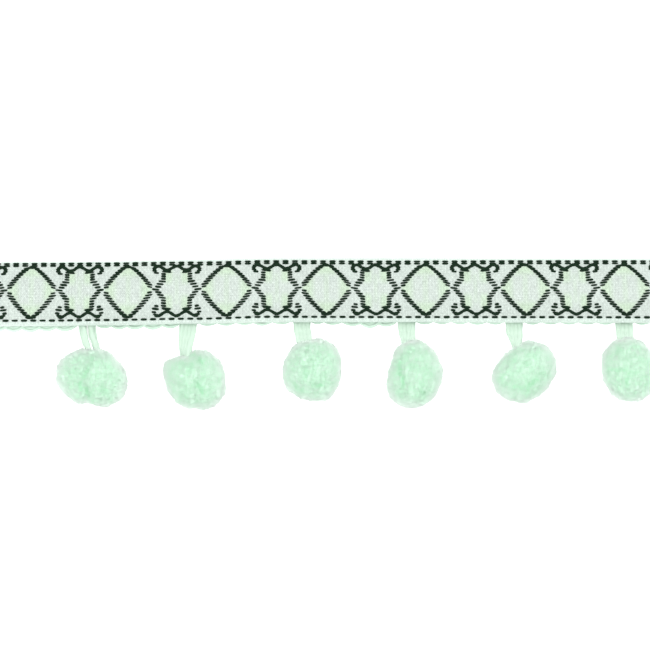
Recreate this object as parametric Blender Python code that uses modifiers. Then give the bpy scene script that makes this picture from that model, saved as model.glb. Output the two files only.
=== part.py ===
"""Pompom fringe trim: a cut length of woven ribbon, with a scalloped heading sewn behind its
lower edge and six pompoms on yarn loops. It lies face up, as it would on a table.

Sizes are in millimetres and turned to metres as each mesh is made. +X runs along the ribbon,
+Y runs across it, away from the pompoms, and +Z is up, out of the ribbon's face. The origin is
on the table, under the middle of the whole trim.
"""

import math
from collections import namedtuple

import bmesh
import bpy
import numpy as np
from mathutils import Vector

MM = 0.001

# The woven ribbon.
REPEAT = 27.5  # one diamond and one cartouche of the woven figure
REPEATS = 7
LENGTH = REPEAT * REPEATS
RIBBON_WIDTH = 18.0
RIBBON_THICKNESS = 1.0
RIBBON_LIFT = 1.35  # how high its lower part rides on the heading
RAMP_TOP = 3.0  # across the ribbon, from its middle: where the rise starts and ends
RAMP_FOOT = -3.7
RIBBON_STATIONS = 70
RIBBON_COLUMNS = 13
SELVEDGE_BEVEL = 0.25
PUCKER = 0.18  # the lower edge isn't quite even in height, in waves of two lengths
PUCKER_WAVES = (5.3, 12.1)
RIBBON_MIDDLE_Y = 12.2  # puts the whole trim's middle over the origin

# The heading, a narrow braid that peeps out under the ribbon as scallops.
HEADING_THICKNESS = 1.0
HEADING_TOP = -4.1  # from the ribbon's middle
SCALLOP_DIP = 0.35  # how far the braid draws back between scallops, as a share of their peep
HEADING_STATIONS = 280
HEADING_COLUMNS = 2
NOTCH_WIDTH = 5.3  # where a loop is caught in the heading
NOTCH_DEPTH = 1.75

# The loops: four strands side by side, caught by a bar and tied at the pompom's waist.
STRANDS = 4
STRAND_RADIUS = 0.45
STRAND_PITCH = 1.07
STRAND_POINTS = 9
STRAND_REST = 0.55  # height of the strands' middle where they leave the ribbon
BAR_DEPTH = 0.9
BAR_HEIGHT = 0.8
BAR_SINK = 0.75  # from the ribbon's lower edge back to the bar's middle
BAR_MARGIN = 0.1  # how much wider the bar and the knot are than the strands' pitches
KNOT_DEPTH = 1.1
KNOT_HEIGHT = 1.3
ENTRY_HEIGHT = 7.3
ENTRY_SINK = 1.2  # the pile round a loop stands this far beyond where it goes in
TIE_DEPTH = 3.0  # how far inside the pompom the knot lies
KNOT_LEAN = 0.35  # how far towards the pompom's middle it lies sideways, as a share
STRAIGHT_OUT = 0.42  # how far a loop runs straight at each end, as a share of its reach
STRAIGHT_IN = 0.38
TWISTED_BY = 0.8  # where along its loop a strand has all its twist
DRAWN_TOGETHER = 0.06  # how much closer the strands lie at the knot, as a share
GAP = 0.32  # between pieces that touch

# The pompoms.
POMPOM_HALF_HEIGHT = 8.1
REST_SHARE = 0.93  # a pompom's middle sits this share of its half height above the table
BALL_SUBDIVISIONS = 4
TUFTS = 46
TUFT_HEIGHT = 0.42
TUFT_SINK = 0.45  # sets the tufts' valleys as far below the outline as their tops are above
TUFT_TURN = 1.7  # turns each pompom's tufts from the last one's, in radians
PILE_UNEVENNESS = 0.14
CLEFT_HALF_WIDTH = 1.2
CLEFT_AT_RIM = 0.2
PARTING_HALF_WIDTH = 1.9
PARTING_FROM = 0.35  # the parting starts this share of the radius out, and is full after the ramp
PARTING_RAMP = 0.5
POCKET_RADIUS = STRAND_RADIUS + GAP * math.sqrt(2)
POCKET_FROM = 2  # the point along a strand where its pocket starts, clear of the pile

# The scallops along the heading's lower edge, one at each loop's root among them: where each
# one's middle is, and how far it peeps out below the ribbon.
Scallop = namedtuple("Scallop", "x peep")
SCALLOPS = (
    Scallop(-96.8, 1.30), Scallop(-91.9, 1.30), Scallop(-87.0, 1.35), Scallop(-82.4, 1.50),
    Scallop(-77.8, 1.20), Scallop(-72.8, 1.20), Scallop(-66.6, 1.00), Scallop(-61.9, 0.50),
    Scallop(-57.8, 0.90), Scallop(-53.4, 0.95), Scallop(-48.3, 1.20), Scallop(-43.3, 0.90),
    Scallop(-38.4, 0.60), Scallop(-33.1, 0.35), Scallop(-27.9, 0.45), Scallop(-22.8, 0.35),
    Scallop(-18.1, 0.70), Scallop(-12.5, 0.25), Scallop(-7.0, 0.30), Scallop(-3.1, 0.30),
    Scallop(1.4, 0.45), Scallop(6.9, 0.75), Scallop(11.9, 1.40), Scallop(16.6, 0.95),
    Scallop(22.1, 0.50), Scallop(27.1, 0.35), Scallop(32.0, 0.25), Scallop(36.9, 0.25),
    Scallop(41.7, 0.40), Scallop(46.9, 0.30), Scallop(51.9, 0.25), Scallop(57.0, 0.25),
    Scallop(62.1, 0.25), Scallop(67.2, 0.25), Scallop(72.3, 0.25), Scallop(77.4, 0.25),
    Scallop(82.5, 0.25), Scallop(87.5, 0.25), Scallop(92.5, 0.25), Scallop(97.5, 0.25),
)

# How the ribbon lies: its middle line's distance from straight, at places along it.
Lie = namedtuple("Lie", "x y")
LIES = (
    Lie(-97.0, -1.10),
    Lie(-77.0, -1.00),
    Lie(-63.0, -0.83),
    Lie(-36.0, -0.36),
    Lie(-15.0, 0.05),
    Lie(20.0, 0.08),
    Lie(55.0, -0.05),
    Lie(97.0, -0.14),
)

# Each pompom's place and its cleft: the direction across it, how far it is from the middle,
# and how deep it is. y is from the ribbon's middle. root_x and entry_x are where its loop
# leaves the heading and enters the pile, and parting is how deep the pile opens there. twist
# turns the whole loop edge on and ply turns each leg's two strands, both in degrees; spread
# parts the legs, and bow shifts the loop's middle along X. radii are the outline's, every
# 30 degrees anticlockwise from +X.
Pompom = namedtuple(
    "Pompom",
    "x y cleft_deg cleft_at cleft_depth parting root_x entry_x twist ply spread bow radii",
)
POMPOMS = (
    Pompom(-65.3, -24.3, 0, -1.4, 1.1, 0.2, -66.6, -64.3, 0, 80, 0.5, 0.0,
           (10.2, 8.9, 8.6, 8.4, 8.8, 9.9, 10.0, 8.8, 8.0, 7.4, 9.3, 10.4)),
    Pompom(-36.8, -25.0, 0, 0.9, 0.6, 1.2, -38.4, -39.2, 58, 0, 0.0, -0.6,
           (8.8, 9.0, 9.0, 8.7, 8.1, 9.6, 8.2, 7.8, 7.9, 8.0, 9.0, 9.4)),
    Pompom(-4.2, -22.5, 90, -4.4, 0.4, 0.3, -7.0, -6.2, 18, 0, 0.0, 0.0,
           (8.1, 9.2, 9.7, 9.1, 8.8, 8.2, 8.2, 8.5, 8.2, 8.2, 9.0, 8.5)),
    Pompom(24.0, -22.8, 5, -3.4, 0.8, 0.4, 22.1, 22.5, 50, 0, 0.15, 0.0,
           (8.1, 8.0, 8.6, 9.4, 8.7, 6.9, 7.0, 8.7, 10.1, 10.1, 9.3, 8.4)),
    Pompom(54.5, -22.5, 95, -3.6, 0.6, 0.4, 51.9, 52.5, 70, 0, 0.0, 0.0,
           (9.1, 9.7, 9.2, 8.4, 7.2, 7.2, 8.6, 9.6, 9.2, 8.8, 8.1, 8.2)),
    Pompom(83.9, -22.2, -10, -4.3, 0.5, 0.3, 82.5, 82.8, 20, 0, 0.1, 0.0,
           (8.0, 7.6, 8.4, 9.4, 9.4, 8.7, 7.8, 7.9, 8.6, 8.8, 9.0, 8.6)),
)


def clear_scene():
    for obj in list(bpy.data.objects):
        bpy.data.objects.remove(obj)


def new_collection(name):
    collection = bpy.data.collections.new(name)
    bpy.context.scene.collection.children.link(collection)
    return collection


def yarn_material(name, colour, roughness):
    """A matt yarn or cloth. The colour is linear red, green and blue."""
    material = bpy.data.materials.new(name)
    material.use_nodes = True
    surface = material.node_tree.nodes["Principled BSDF"]
    surface.inputs["Base Color"].default_value = (*colour, 1.0)
    surface.inputs["Roughness"].default_value = roughness
    surface.inputs["Metallic"].default_value = 0.0
    return material


def smooth_step(t):
    t = np.clip(t, 0.0, 1.0)
    return t * t * (3 - 2 * t)


def eased_table(x, places, values):
    """The table's values, joined by curves that are level at each place."""
    places = np.asarray(places)
    values = np.asarray(values)
    after = np.clip(np.searchsorted(places, x), 1, len(places) - 1)
    share = (x - places[after - 1]) / (places[after] - places[after - 1])
    return values[after - 1] + (values[after] - values[after - 1]) * smooth_step(share)


def ribbon_middle(x):
    """Y of the ribbon's middle line at x."""
    return RIBBON_MIDDLE_Y + eased_table(x, [p.x for p in LIES], [p.y for p in LIES])


def underside(x, across):
    """Height of the ribbon's back: on the table, then over the heading."""
    rise = smooth_step((RAMP_TOP - across) / (RAMP_TOP - RAMP_FOOT))
    edge = smooth_step((RAMP_FOOT - across) / (RIBBON_WIDTH / 2 + RAMP_FOOT))
    short, long = PUCKER_WAVES
    wave = 0.5 + 0.5 * np.sin(x / short) * np.cos(x / long)
    return RIBBON_LIFT * rise + PUCKER * edge * wave


def grid_object(name, stations, columns, shape, material, collection):
    """A grid whose points are placed by shape(along, across), both from -0.5 to 0.5."""
    bpy.ops.mesh.primitive_grid_add(x_subdivisions=stations, y_subdivisions=columns, size=1)
    obj = bpy.context.object
    obj.name = name
    obj.data.name = name
    for owner in list(obj.users_collection):
        owner.objects.unlink(obj)
    collection.objects.link(obj)
    flat = np.empty(len(obj.data.vertices) * 3)
    obj.data.vertices.foreach_get("co", flat)
    flat = flat.reshape(-1, 3)
    x, y, z = shape(flat[:, 0], flat[:, 1])
    obj.data.vertices.foreach_set("co", (np.column_stack((x, y, z)) * MM).ravel())
    obj.data.materials.append(material)
    return obj


def thicken(obj, thickness, bevel):
    solid = obj.modifiers.new("Thickness", "SOLIDIFY")
    solid.thickness = thickness * MM
    solid.offset = 1.0
    solid.use_even_offset = True
    edges = obj.modifiers.new("Edges", "BEVEL")
    edges.width = bevel * MM
    edges.segments = 1
    edges.limit_method = "ANGLE"
    edges.angle_limit = math.radians(60)


def make_ribbon(material, collection):
    def shape(along, across):
        x = along * LENGTH
        v = across * RIBBON_WIDTH
        return x, ribbon_middle(x) + v, underside(x, v)

    ribbon = grid_object("ribbon", RIBBON_STATIONS, RIBBON_COLUMNS, shape, material, collection)
    thicken(ribbon, RIBBON_THICKNESS, SELVEDGE_BEVEL)


def scallop_phase(x):
    """Counts scallops along the heading, a whole number at each one's middle."""
    return np.interp(x, [scallop.x for scallop in SCALLOPS], np.arange(len(SCALLOPS)))


def heading_edge(x):
    """How far the heading's lower edge reaches below the ribbon's, with notches at loops."""
    arch = np.sqrt(np.abs(np.sin(math.pi * (scallop_phase(x) + 0.5))))
    peep = np.interp(x, [scallop.x for scallop in SCALLOPS], [scallop.peep for scallop in SCALLOPS])
    edge = peep * ((1 + SCALLOP_DIP) * arch - SCALLOP_DIP)
    for pompom in POMPOMS:
        inside = np.abs(x - pompom.root_x) < NOTCH_WIDTH / 2
        edge = np.where(inside, -NOTCH_DEPTH, edge)
    return edge


def make_heading(material, collection):
    def shape(along, across):
        x = along * LENGTH
        low = -RIBBON_WIDTH / 2 - heading_edge(x)
        v = low + (across + 0.5) * (HEADING_TOP - low)
        return x, ribbon_middle(x) + v, np.zeros_like(x)

    heading = grid_object(
        "heading", HEADING_STATIONS, HEADING_COLUMNS, shape, material, collection
    )
    solid = heading.modifiers.new("Thickness", "SOLIDIFY")
    solid.thickness = HEADING_THICKNESS * MM
    solid.offset = 1.0


def outline_radius(radii, azimuth):
    """A closed smooth curve through the radii, which are evenly spaced round the pompom."""
    radii = np.asarray(radii)
    count = len(radii)
    place = np.mod(azimuth, 2 * math.pi) / (2 * math.pi) * count
    first = np.floor(place).astype(int)
    t = place - first
    a, b, c, d = (radii[(first + k) % count] for k in (-1, 0, 1, 2))
    bend = 2 * a - 5 * b + 4 * c - d + t * (3 * (b - c) + d - a)
    return b + 0.5 * t * (c - a + t * bend)


def radius_towards_ribbon(pompom):
    return pompom.radii[len(pompom.radii) // 4]


def spread_directions(count, turn):
    """Unit vectors spread evenly over a sphere, along a spiral that starts at turn."""
    k = np.arange(count)
    height = 1 - (2 * k + 1) / count
    angle = turn + k * math.pi * (3 - math.sqrt(5))
    level = np.sqrt(1 - height**2)
    return np.column_stack((level * np.cos(angle), level * np.sin(angle), height))


def parted_pile(points, pompom):
    """How far the pile opens where the loop goes in: a notch along the loop's way."""
    way = np.array((pompom.entry_x - pompom.x, radius_towards_ribbon(pompom)))
    reach = np.linalg.norm(way)
    way /= reach
    outward = points[:, :2] @ way
    aside = points[:, :2] @ np.array((-way[1], way[0]))
    near_rim = smooth_step((outward / reach - PARTING_FROM) / PARTING_RAMP)
    return pompom.parting * near_rim * np.exp(-((aside / PARTING_HALF_WIDTH) ** 2))


def pompom_points(directions, pompom, seed):
    """Places a unit ball's points on the pompom's lumpy pile, in millimetres."""
    level = np.hypot(directions[:, 0], directions[:, 1])
    azimuth = np.arctan2(directions[:, 1], directions[:, 0])
    outline = outline_radius(pompom.radii, azimuth)
    body = 1 / np.sqrt((level / outline) ** 2 + (directions[:, 2] / POMPOM_HALF_HEIGHT) ** 2)
    tufts = spread_directions(TUFTS, seed * TUFT_TURN)
    nearness = (directions @ tufts.T).max(axis=1)
    off_tuft = np.arccos(np.clip(nearness, -1, 1)) / math.sqrt(4 / TUFTS)
    noise = np.random.default_rng(seed).uniform(-1, 1, len(directions))
    pile = TUFT_HEIGHT * (TUFT_SINK - off_tuft**2) + PILE_UNEVENNESS * noise
    points = directions * (body + pile)[:, None]
    turn = math.radians(pompom.cleft_deg)
    off_cleft = points[:, 0] * math.cos(turn) + points[:, 1] * math.sin(turn) - pompom.cleft_at
    upward = CLEFT_AT_RIM + (1 - CLEFT_AT_RIM) * smooth_step(directions[:, 2])
    groove = pompom.cleft_depth * upward * np.exp(-((off_cleft / CLEFT_HALF_WIDTH) ** 2))
    points *= (1 - (groove + parted_pile(points, pompom)) / body)[:, None]
    points += (0, 0, REST_SHARE * POMPOM_HALF_HEIGHT)
    points[:, 2] = np.maximum(points[:, 2], 0)
    points += (pompom.x, RIBBON_MIDDLE_Y + pompom.y, 0)
    return points


def make_pompom(name, pompom, seed, material, collection):
    mesh = bpy.data.meshes.new(name)
    ball = bmesh.new()
    bmesh.ops.create_icosphere(ball, subdivisions=BALL_SUBDIVISIONS, radius=1)
    ball.to_mesh(mesh)
    ball.free()
    directions = np.empty(len(mesh.vertices) * 3)
    mesh.vertices.foreach_get("co", directions)
    points = pompom_points(directions.reshape(-1, 3), pompom, seed)
    mesh.vertices.foreach_set("co", (points * MM).ravel())
    mesh.update()
    mesh.materials.append(material)
    mesh.shade_smooth()
    obj = bpy.data.objects.new(name, mesh)
    collection.objects.link(obj)
    return obj


def loop_ends(pompom):
    """Where a loop starts under the ribbon, where it enters the pile and where its knot is."""
    edge = float(ribbon_middle(pompom.root_x)) - RIBBON_WIDTH / 2
    start = Vector((pompom.root_x, edge + BAR_SINK, STRAND_REST))
    rim_y = RIBBON_MIDDLE_Y + pompom.y + radius_towards_ribbon(pompom)
    entry_y = rim_y - pompom.parting - ENTRY_SINK
    entry = Vector((pompom.entry_x, entry_y, ENTRY_HEIGHT))
    aside = KNOT_LEAN * (pompom.x - pompom.entry_x)
    inward = Vector((aside, RIBBON_MIDDLE_Y + pompom.y - entry_y, 0))
    knot = entry + inward.normalized() * TIE_DEPTH
    return start, entry, knot


def loop_line(pompom, count):
    """Points of the loop's middle line: level out of the heading, up, then into the pile, and
    bowed along X."""
    start, _, knot = loop_ends(pompom)
    reach = (start - knot).length
    out = start + Vector((0, -STRAIGHT_OUT * reach, 0))
    into = knot + Vector((0, STRAIGHT_IN * reach, 0))
    points = []
    for t in np.linspace(0, 1, count):
        s = 1 - t
        point = s**3 * start + 3 * s * s * t * out + 3 * s * t * t * into + t**3 * knot
        points.append(point + Vector((pompom.bow * math.sin(math.pi * t), 0, 0)))
    return points


def strand_points(pompom, index, count):
    """One strand's line. Two strands lie side by side in each leg, turned about the leg's
    middle by the ply, and the legs beside the loop's middle line, turned by its twist."""
    side = index - (STRANDS - 1) / 2
    leg = math.copysign(1, side)
    points = []
    for t, middle in zip(np.linspace(0, 1, count), loop_line(pompom, count)):
        ease = float(smooth_step(t / TWISTED_BY))
        turn = math.radians(pompom.twist) * ease
        ply = turn + math.radians(pompom.ply) * ease
        pitch = STRAND_PITCH * (1 - DRAWN_TOGETHER * t)
        parted = leg * (pitch + pompom.spread / 2 * math.sin(math.pi * t))
        in_leg = (side - leg) * pitch
        offset = parted * Vector((math.cos(turn), 0, math.sin(turn)))
        offset += in_leg * Vector((math.cos(ply), 0, math.sin(ply)))
        points.append(middle + offset)
    return points


def tube_mesh(name, points, radius, collection):
    """A four-sided tube with filled ends along the points, as a mesh object."""
    curve = bpy.data.curves.new(name, "CURVE")
    curve.dimensions = "3D"
    curve.bevel_depth = radius * MM
    curve.bevel_resolution = 0
    curve.use_fill_caps = True
    spline = curve.splines.new("POLY")
    spline.points.add(len(points) - 1)
    for spot, point in zip(spline.points, points):
        spot.co = (*(point * MM), 1)
    holder = bpy.data.objects.new(name + "_line", curve)
    collection.objects.link(holder)
    bpy.context.view_layer.update()
    graph = bpy.context.evaluated_depsgraph_get()
    mesh = bpy.data.meshes.new_from_object(holder.evaluated_get(graph))
    bpy.data.objects.remove(holder)
    weld = bmesh.new()
    weld.from_mesh(mesh)
    bmesh.ops.remove_doubles(weld, verts=weld.verts, dist=1e-6)
    bmesh.ops.recalc_face_normals(weld, faces=weld.faces)
    weld.to_mesh(mesh)
    weld.free()
    obj = bpy.data.objects.new(name, mesh)
    collection.objects.link(obj)
    return obj


def block(name, centre, size, twist, collection):
    """A box turned by twist about the Y axis."""
    mesh = bpy.data.meshes.new(name)
    box = bmesh.new()
    bmesh.ops.create_cube(box, size=1)
    bmesh.ops.scale(box, verts=box.verts, vec=Vector(size) * MM)
    box.to_mesh(mesh)
    box.free()
    obj = bpy.data.objects.new(name, mesh)
    obj.location = centre * MM
    obj.rotation_euler = (0, -math.radians(twist), 0)
    collection.objects.link(obj)
    return obj


def knot_width():
    return STRANDS * STRAND_PITCH * (1 - DRAWN_TOGETHER) + BAR_MARGIN


def hide_helper(obj):
    obj.hide_render = True
    obj.display_type = "WIRE"


def add_boolean(obj, other, operation):
    cut = obj.modifiers.new(other.name, "BOOLEAN")
    cut.operation = operation
    cut.object = other


def make_loop(name, pompom, material, collection, helpers):
    """Strands fused to the bar that the heading holds and to the knot inside the pompom."""
    start, _, knot = loop_ends(pompom)
    bar_size = (STRANDS * STRAND_PITCH + BAR_MARGIN, BAR_DEPTH, BAR_HEIGHT)
    bar = block(name, start, bar_size, 0, collection)
    bar.data.materials.append(material)
    tie_size = (knot_width(), KNOT_DEPTH, KNOT_HEIGHT)
    tie = block(name + "_knot", knot, tie_size, pompom.twist, helpers)
    joined = [tie]
    for k in range(STRANDS):
        points = strand_points(pompom, k, STRAND_POINTS)
        joined.append(tube_mesh(f"{name}_strand_{k + 1}", points, STRAND_RADIUS, helpers))
    for piece in joined:
        hide_helper(piece)
        add_boolean(bar, piece, "UNION")
    return bar


def cut_pocket(ball, pompom, helpers):
    """Opens the pile round the loop's end, a little larger all round."""
    _, _, knot = loop_ends(pompom)
    size = (knot_width() + 2 * GAP, KNOT_DEPTH + 2 * GAP, KNOT_HEIGHT + 2 * GAP)
    pocket = block(ball.name + "_pocket", knot, size, pompom.twist, helpers)
    hide_helper(pocket)
    for k in range(STRANDS):
        points = strand_points(pompom, k, STRAND_POINTS)[POCKET_FROM:]
        cutter = tube_mesh(f"{ball.name}_pocket_{k + 1}", points, POCKET_RADIUS, helpers)
        hide_helper(cutter)
        add_boolean(pocket, cutter, "UNION")
    add_boolean(ball, pocket, "DIFFERENCE")


def main():
    clear_scene()
    trim = new_collection("pompom_fringe_trim")
    helpers = new_collection("helpers")
    cloth = yarn_material("woven_ribbon", (0.74, 0.82, 0.77), 0.75)
    braid = yarn_material("heading_yarn", (0.66, 0.90, 0.74), 0.8)
    thread = yarn_material("loop_yarn", (0.68, 0.93, 0.76), 0.8)
    pile = yarn_material("pompom_pile", (0.57, 0.87, 0.66), 0.95)
    make_ribbon(cloth, trim)
    make_heading(braid, trim)
    for number, pompom in enumerate(POMPOMS, start=1):
        make_loop(f"loop_{number}", pompom, thread, trim, helpers)
        ball = make_pompom(f"pompom_{number}", pompom, number, pile, trim)
        cut_pocket(ball, pompom, helpers)


main()
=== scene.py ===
"""Looks of a pompom fringe trim: a woven ribbon, a braided heading, yarn loops and pompoms.

The file is laid out as an add-on. Each piece has an operator, and the sizes and colours that a
user would change are properties of the scene. The shape functions work in millimetres, in the
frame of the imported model: +X along the ribbon, +Y across it and away from the pompoms, and +Z
up, out of the ribbon's face.
"""

import math
from collections import namedtuple

import bpy
import numpy as np
from bpy.props import FloatProperty, FloatVectorProperty, IntProperty, PointerProperty
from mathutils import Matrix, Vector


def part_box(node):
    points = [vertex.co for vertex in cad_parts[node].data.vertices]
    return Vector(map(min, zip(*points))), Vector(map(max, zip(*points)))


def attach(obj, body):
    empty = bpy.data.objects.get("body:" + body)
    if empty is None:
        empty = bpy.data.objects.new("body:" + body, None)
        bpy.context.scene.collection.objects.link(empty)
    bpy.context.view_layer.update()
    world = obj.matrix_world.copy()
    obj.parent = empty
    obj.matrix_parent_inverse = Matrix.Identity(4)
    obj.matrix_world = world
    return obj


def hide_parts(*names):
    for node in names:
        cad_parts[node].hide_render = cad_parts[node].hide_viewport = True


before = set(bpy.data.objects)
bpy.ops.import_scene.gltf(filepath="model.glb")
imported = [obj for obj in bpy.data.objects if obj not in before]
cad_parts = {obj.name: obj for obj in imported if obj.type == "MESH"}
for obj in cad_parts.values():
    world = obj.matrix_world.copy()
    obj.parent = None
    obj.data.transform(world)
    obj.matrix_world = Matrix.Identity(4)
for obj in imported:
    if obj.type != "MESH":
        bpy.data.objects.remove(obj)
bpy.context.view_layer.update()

bl_info = {
    "name": "Pompom fringe trim",
    "version": (1, 0, 0),
    "blender": (4, 5, 0),
    "location": "3D View > Sidebar > Trim",
    "description": "Weaves, braids and cuts the pieces of a pompom fringe trim",
    "category": "Add Mesh",
}

MM = 0.001

# ---- The ribbon's lie and its woven figure, in millimetres ----

REPEATS = 7
PICKS = 99  # weft threads in one repeat of the figure
LENGTH = (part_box("ribbon")[1].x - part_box("ribbon")[0].x) / MM
REPEAT = LENGTH / REPEATS
PICK = REPEAT / PICKS
RIBBON_MIDDLE_Y = 12.2
RIBBON_LIFT = 1.35  # how high the ribbon lies over the heading
RAMP_TOP = 3.0  # across the ribbon, where its back leaves the table
RAMP_FOOT = -3.7  # and where it lies on the heading
PUCKER = 0.18
PUCKER_WAVES = (5.3, 12.1)  # lengths along the edge of one radian of its two waves

# How the cloth lies, at places along the ribbon: y is its middle line's distance from straight,
# figure is how far above that line the figure's middle row runs, drift is how far the figure
# has slipped along the ribbon, skew is how much further its lower edge has slipped, and below
# is the step of a row below the middle one.
Lie = namedtuple("Lie", "x y figure drift skew below")
LIES = (
    Lie(-97.0, -1.10, 0.98, 0.60, -0.40, 0.790),
    Lie(-77.0, -1.00, 0.95, 0.33, -0.30, 0.790),
    Lie(-63.0, -0.83, 0.88, -0.19, -0.25, 0.785),
    Lie(-36.0, -0.36, 0.68, -0.55, -0.10, 0.775),
    Lie(-15.0, 0.05, 0.66, -0.20, 0.10, 0.762),
    Lie(20.0, 0.08, 0.50, -0.20, 0.25, 0.758),
    Lie(55.0, -0.05, 0.72, 0.10, 0.75, 0.768),
    Lie(97.0, -0.14, 0.82, 0.35, 1.10, 0.775),
)

# Rows of the figure are counted from its middle row, down from it positive. They lie closer
# towards both selvedges.
ROW_BELOW_CLOSING = 0.003
ROW_ABOVE = 0.77
ROW_ABOVE_CLOSING = 0.0093
LAST_ROW = 11
ROWS_SHOWN = 14  # rows that the weave's map counts either way

# ---- The pompoms and their loops, in millimetres ----

# Each pompom's place and its cleft: the direction across it, how far it is from the middle,
# and how deep it is. y is from the ribbon's middle. root_x and entry_x are where its loop
# leaves the heading and enters the pile, and parting is how deep the pile opens there. twist
# turns the whole loop edge on and ply turns each leg's two strands, both in degrees; spread
# parts the legs, and bow shifts the loop's middle along X. radii are the outline's, every
# 30 degrees anticlockwise from +X.
Pompom = namedtuple(
    "Pompom",
    "x y cleft_deg cleft_at cleft_depth parting root_x entry_x twist ply spread bow radii",
)
POMPOMS = (
    Pompom(-65.3, -24.3, 0, -1.4, 1.1, 0.2, -66.6, -64.3, 0, 75, 0.5, 0.0,
           (10.2, 8.9, 8.6, 8.4, 8.8, 9.9, 10.0, 8.8, 8.0, 7.4, 9.3, 10.4)),
    Pompom(-36.8, -25.0, 0, 0.9, 0.6, 1.2, -38.4, -39.2, 58, 0, 0.0, -0.6,
           (8.8, 9.0, 9.0, 8.7, 8.1, 9.6, 8.2, 7.8, 7.9, 8.0, 9.0, 9.4)),
    Pompom(-4.2, -22.5, 90, -4.4, 0.4, 0.3, -7.0, -6.2, 18, 0, 0.0, 0.0,
           (8.1, 9.2, 9.7, 9.1, 8.8, 8.2, 8.2, 8.5, 8.2, 8.2, 9.0, 8.5)),
    Pompom(24.0, -22.8, 5, -3.4, 0.8, 0.4, 22.1, 22.5, 50, 0, 0.15, 0.0,
           (8.1, 8.0, 8.6, 9.4, 8.7, 6.9, 7.0, 8.7, 10.1, 10.1, 9.3, 8.4)),
    Pompom(54.5, -22.5, 95, -3.6, 0.6, 0.4, 51.9, 52.5, 70, 0, 0.0, 0.0,
           (9.1, 9.7, 9.2, 8.4, 7.2, 7.2, 8.6, 9.6, 9.2, 8.8, 8.1, 8.2)),
    Pompom(83.9, -22.2, -10, -4.3, 0.5, 0.3, 82.5, 82.8, 20, 0, 0.1, 0.0,
           (8.0, 7.6, 8.4, 9.4, 9.4, 8.7, 7.8, 7.9, 8.6, 8.8, 9.0, 8.6)),
)
# Creases in the pile, from the pompom's middle: how long and wide each is, the way it runs
# in degrees, and how deep from 0 to 1.
Crease = namedtuple("Crease", "pompom x y length turn width depth")
CREASES = (
    Crease(1, -1.2, 1.5, 2.6, 60, 0.70, 0.7),
    Crease(1, -2.8, -2.2, 2.2, 95, 0.44, 1.0),
    Crease(1, -1.0, -3.9, 2.8, 115, 0.53, 0.9),
    Crease(1, 0.2, 4.8, 2.6, 90, 0.62, 0.4),
    Crease(1, 0.4, -6.4, 1.6, 95, 0.40, 0.6),
    Crease(1, 3.2, -2.6, 1.8, 80, 0.53, 0.4),
    Crease(1, 4.8, -4.8, 3.6, 120, 0.79, 0.4),
    Crease(2, 2.0, 5.2, 1.0, 135, 0.44, 1.0),
    Crease(2, -0.5, 7.2, 1.2, 30, 0.53, 0.7),
    Crease(2, -1.0, 3.2, 2.2, 70, 0.62, 0.5),
    Crease(2, 1.9, -2.2, 2.2, 120, 0.66, 0.9),
    Crease(2, -3.6, -4.4, 2.2, 80, 0.53, 0.3),
    Crease(3, 1.6, -3.9, 2.2, 5, 0.40, 1.0),
    Crease(3, -1.9, -0.3, 2.8, 95, 0.53, 0.5),
    Crease(3, -3.4, -5.2, 1.8, 150, 0.62, 0.5),
    Crease(3, 1.2, 2.2, 1.6, 60, 0.62, 0.3),
    Crease(4, -3.9, 1.0, 3.6, 93, 0.44, 0.9),
    Crease(4, -3.1, -2.5, 3.0, 94, 0.44, 1.0),
    Crease(4, 2.5, -5.3, 3.2, 100, 0.88, 0.4),
    Crease(5, -1.0, -4.4, 3.6, 175, 0.57, 0.7),
    Crease(5, 2.4, -3.0, 2.4, 40, 0.66, 0.8),
    Crease(5, 3.5, -1.4, 1.4, 60, 0.44, 0.4),
    Crease(6, -3.3, 0.2, 3.4, 0, 0.44, 0.5),
    Crease(6, 0.5, -0.6, 1.8, 170, 0.44, 0.4),
    Crease(6, -1.1, -3.0, 1.4, 85, 0.53, 0.7),
    Crease(6, -3.4, 5.8, 2.2, 75, 0.62, 0.4),
)

HALF_HEIGHT = 8.1
REST_SHARE = 0.93  # how high a pompom's middle lies, as a share of half its height
TUFTS = 46
TUFT_HEIGHT = 0.42
TUFT_SINK = 0.45  # share of its height that a tuft stands above the body
TUFT_TURN = 1.7  # radians that the tufts are turned by from one pompom to the next
CLEFT_HALF_WIDTH = 1.2
CLEFT_AT_RIM = 0.2  # depth of the cleft at the rim, as a share of its depth on top
PARTING_HALF_WIDTH = 1.9
PARTING_FROM, PARTING_FULL = 0.35, 0.85  # shares of the way out to the rim

STRANDS = 4
STRAND_PITCH = 1.07
STRAND_REST = 0.55  # height of the strands' middles where they leave the heading
BAR_SINK = 0.75  # how far behind the ribbon's edge the heading holds them
ENTRY_HEIGHT = 7.3
ENTRY_SINK = 1.2  # how far inside the rim they enter the pile
TIE_DEPTH = 3.0  # and how much deeper the knot is
KNOT_LEAN = 0.35
STRAIGHT_OUT = 0.42  # the arms of the loop's curve, as shares of its reach
STRAIGHT_IN = 0.38
DRAWN_TOGETHER = 0.06  # share by which the strands lie closer at the knot
TWISTED_BY = 0.8  # share of the way by which they have their whole twist

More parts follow.
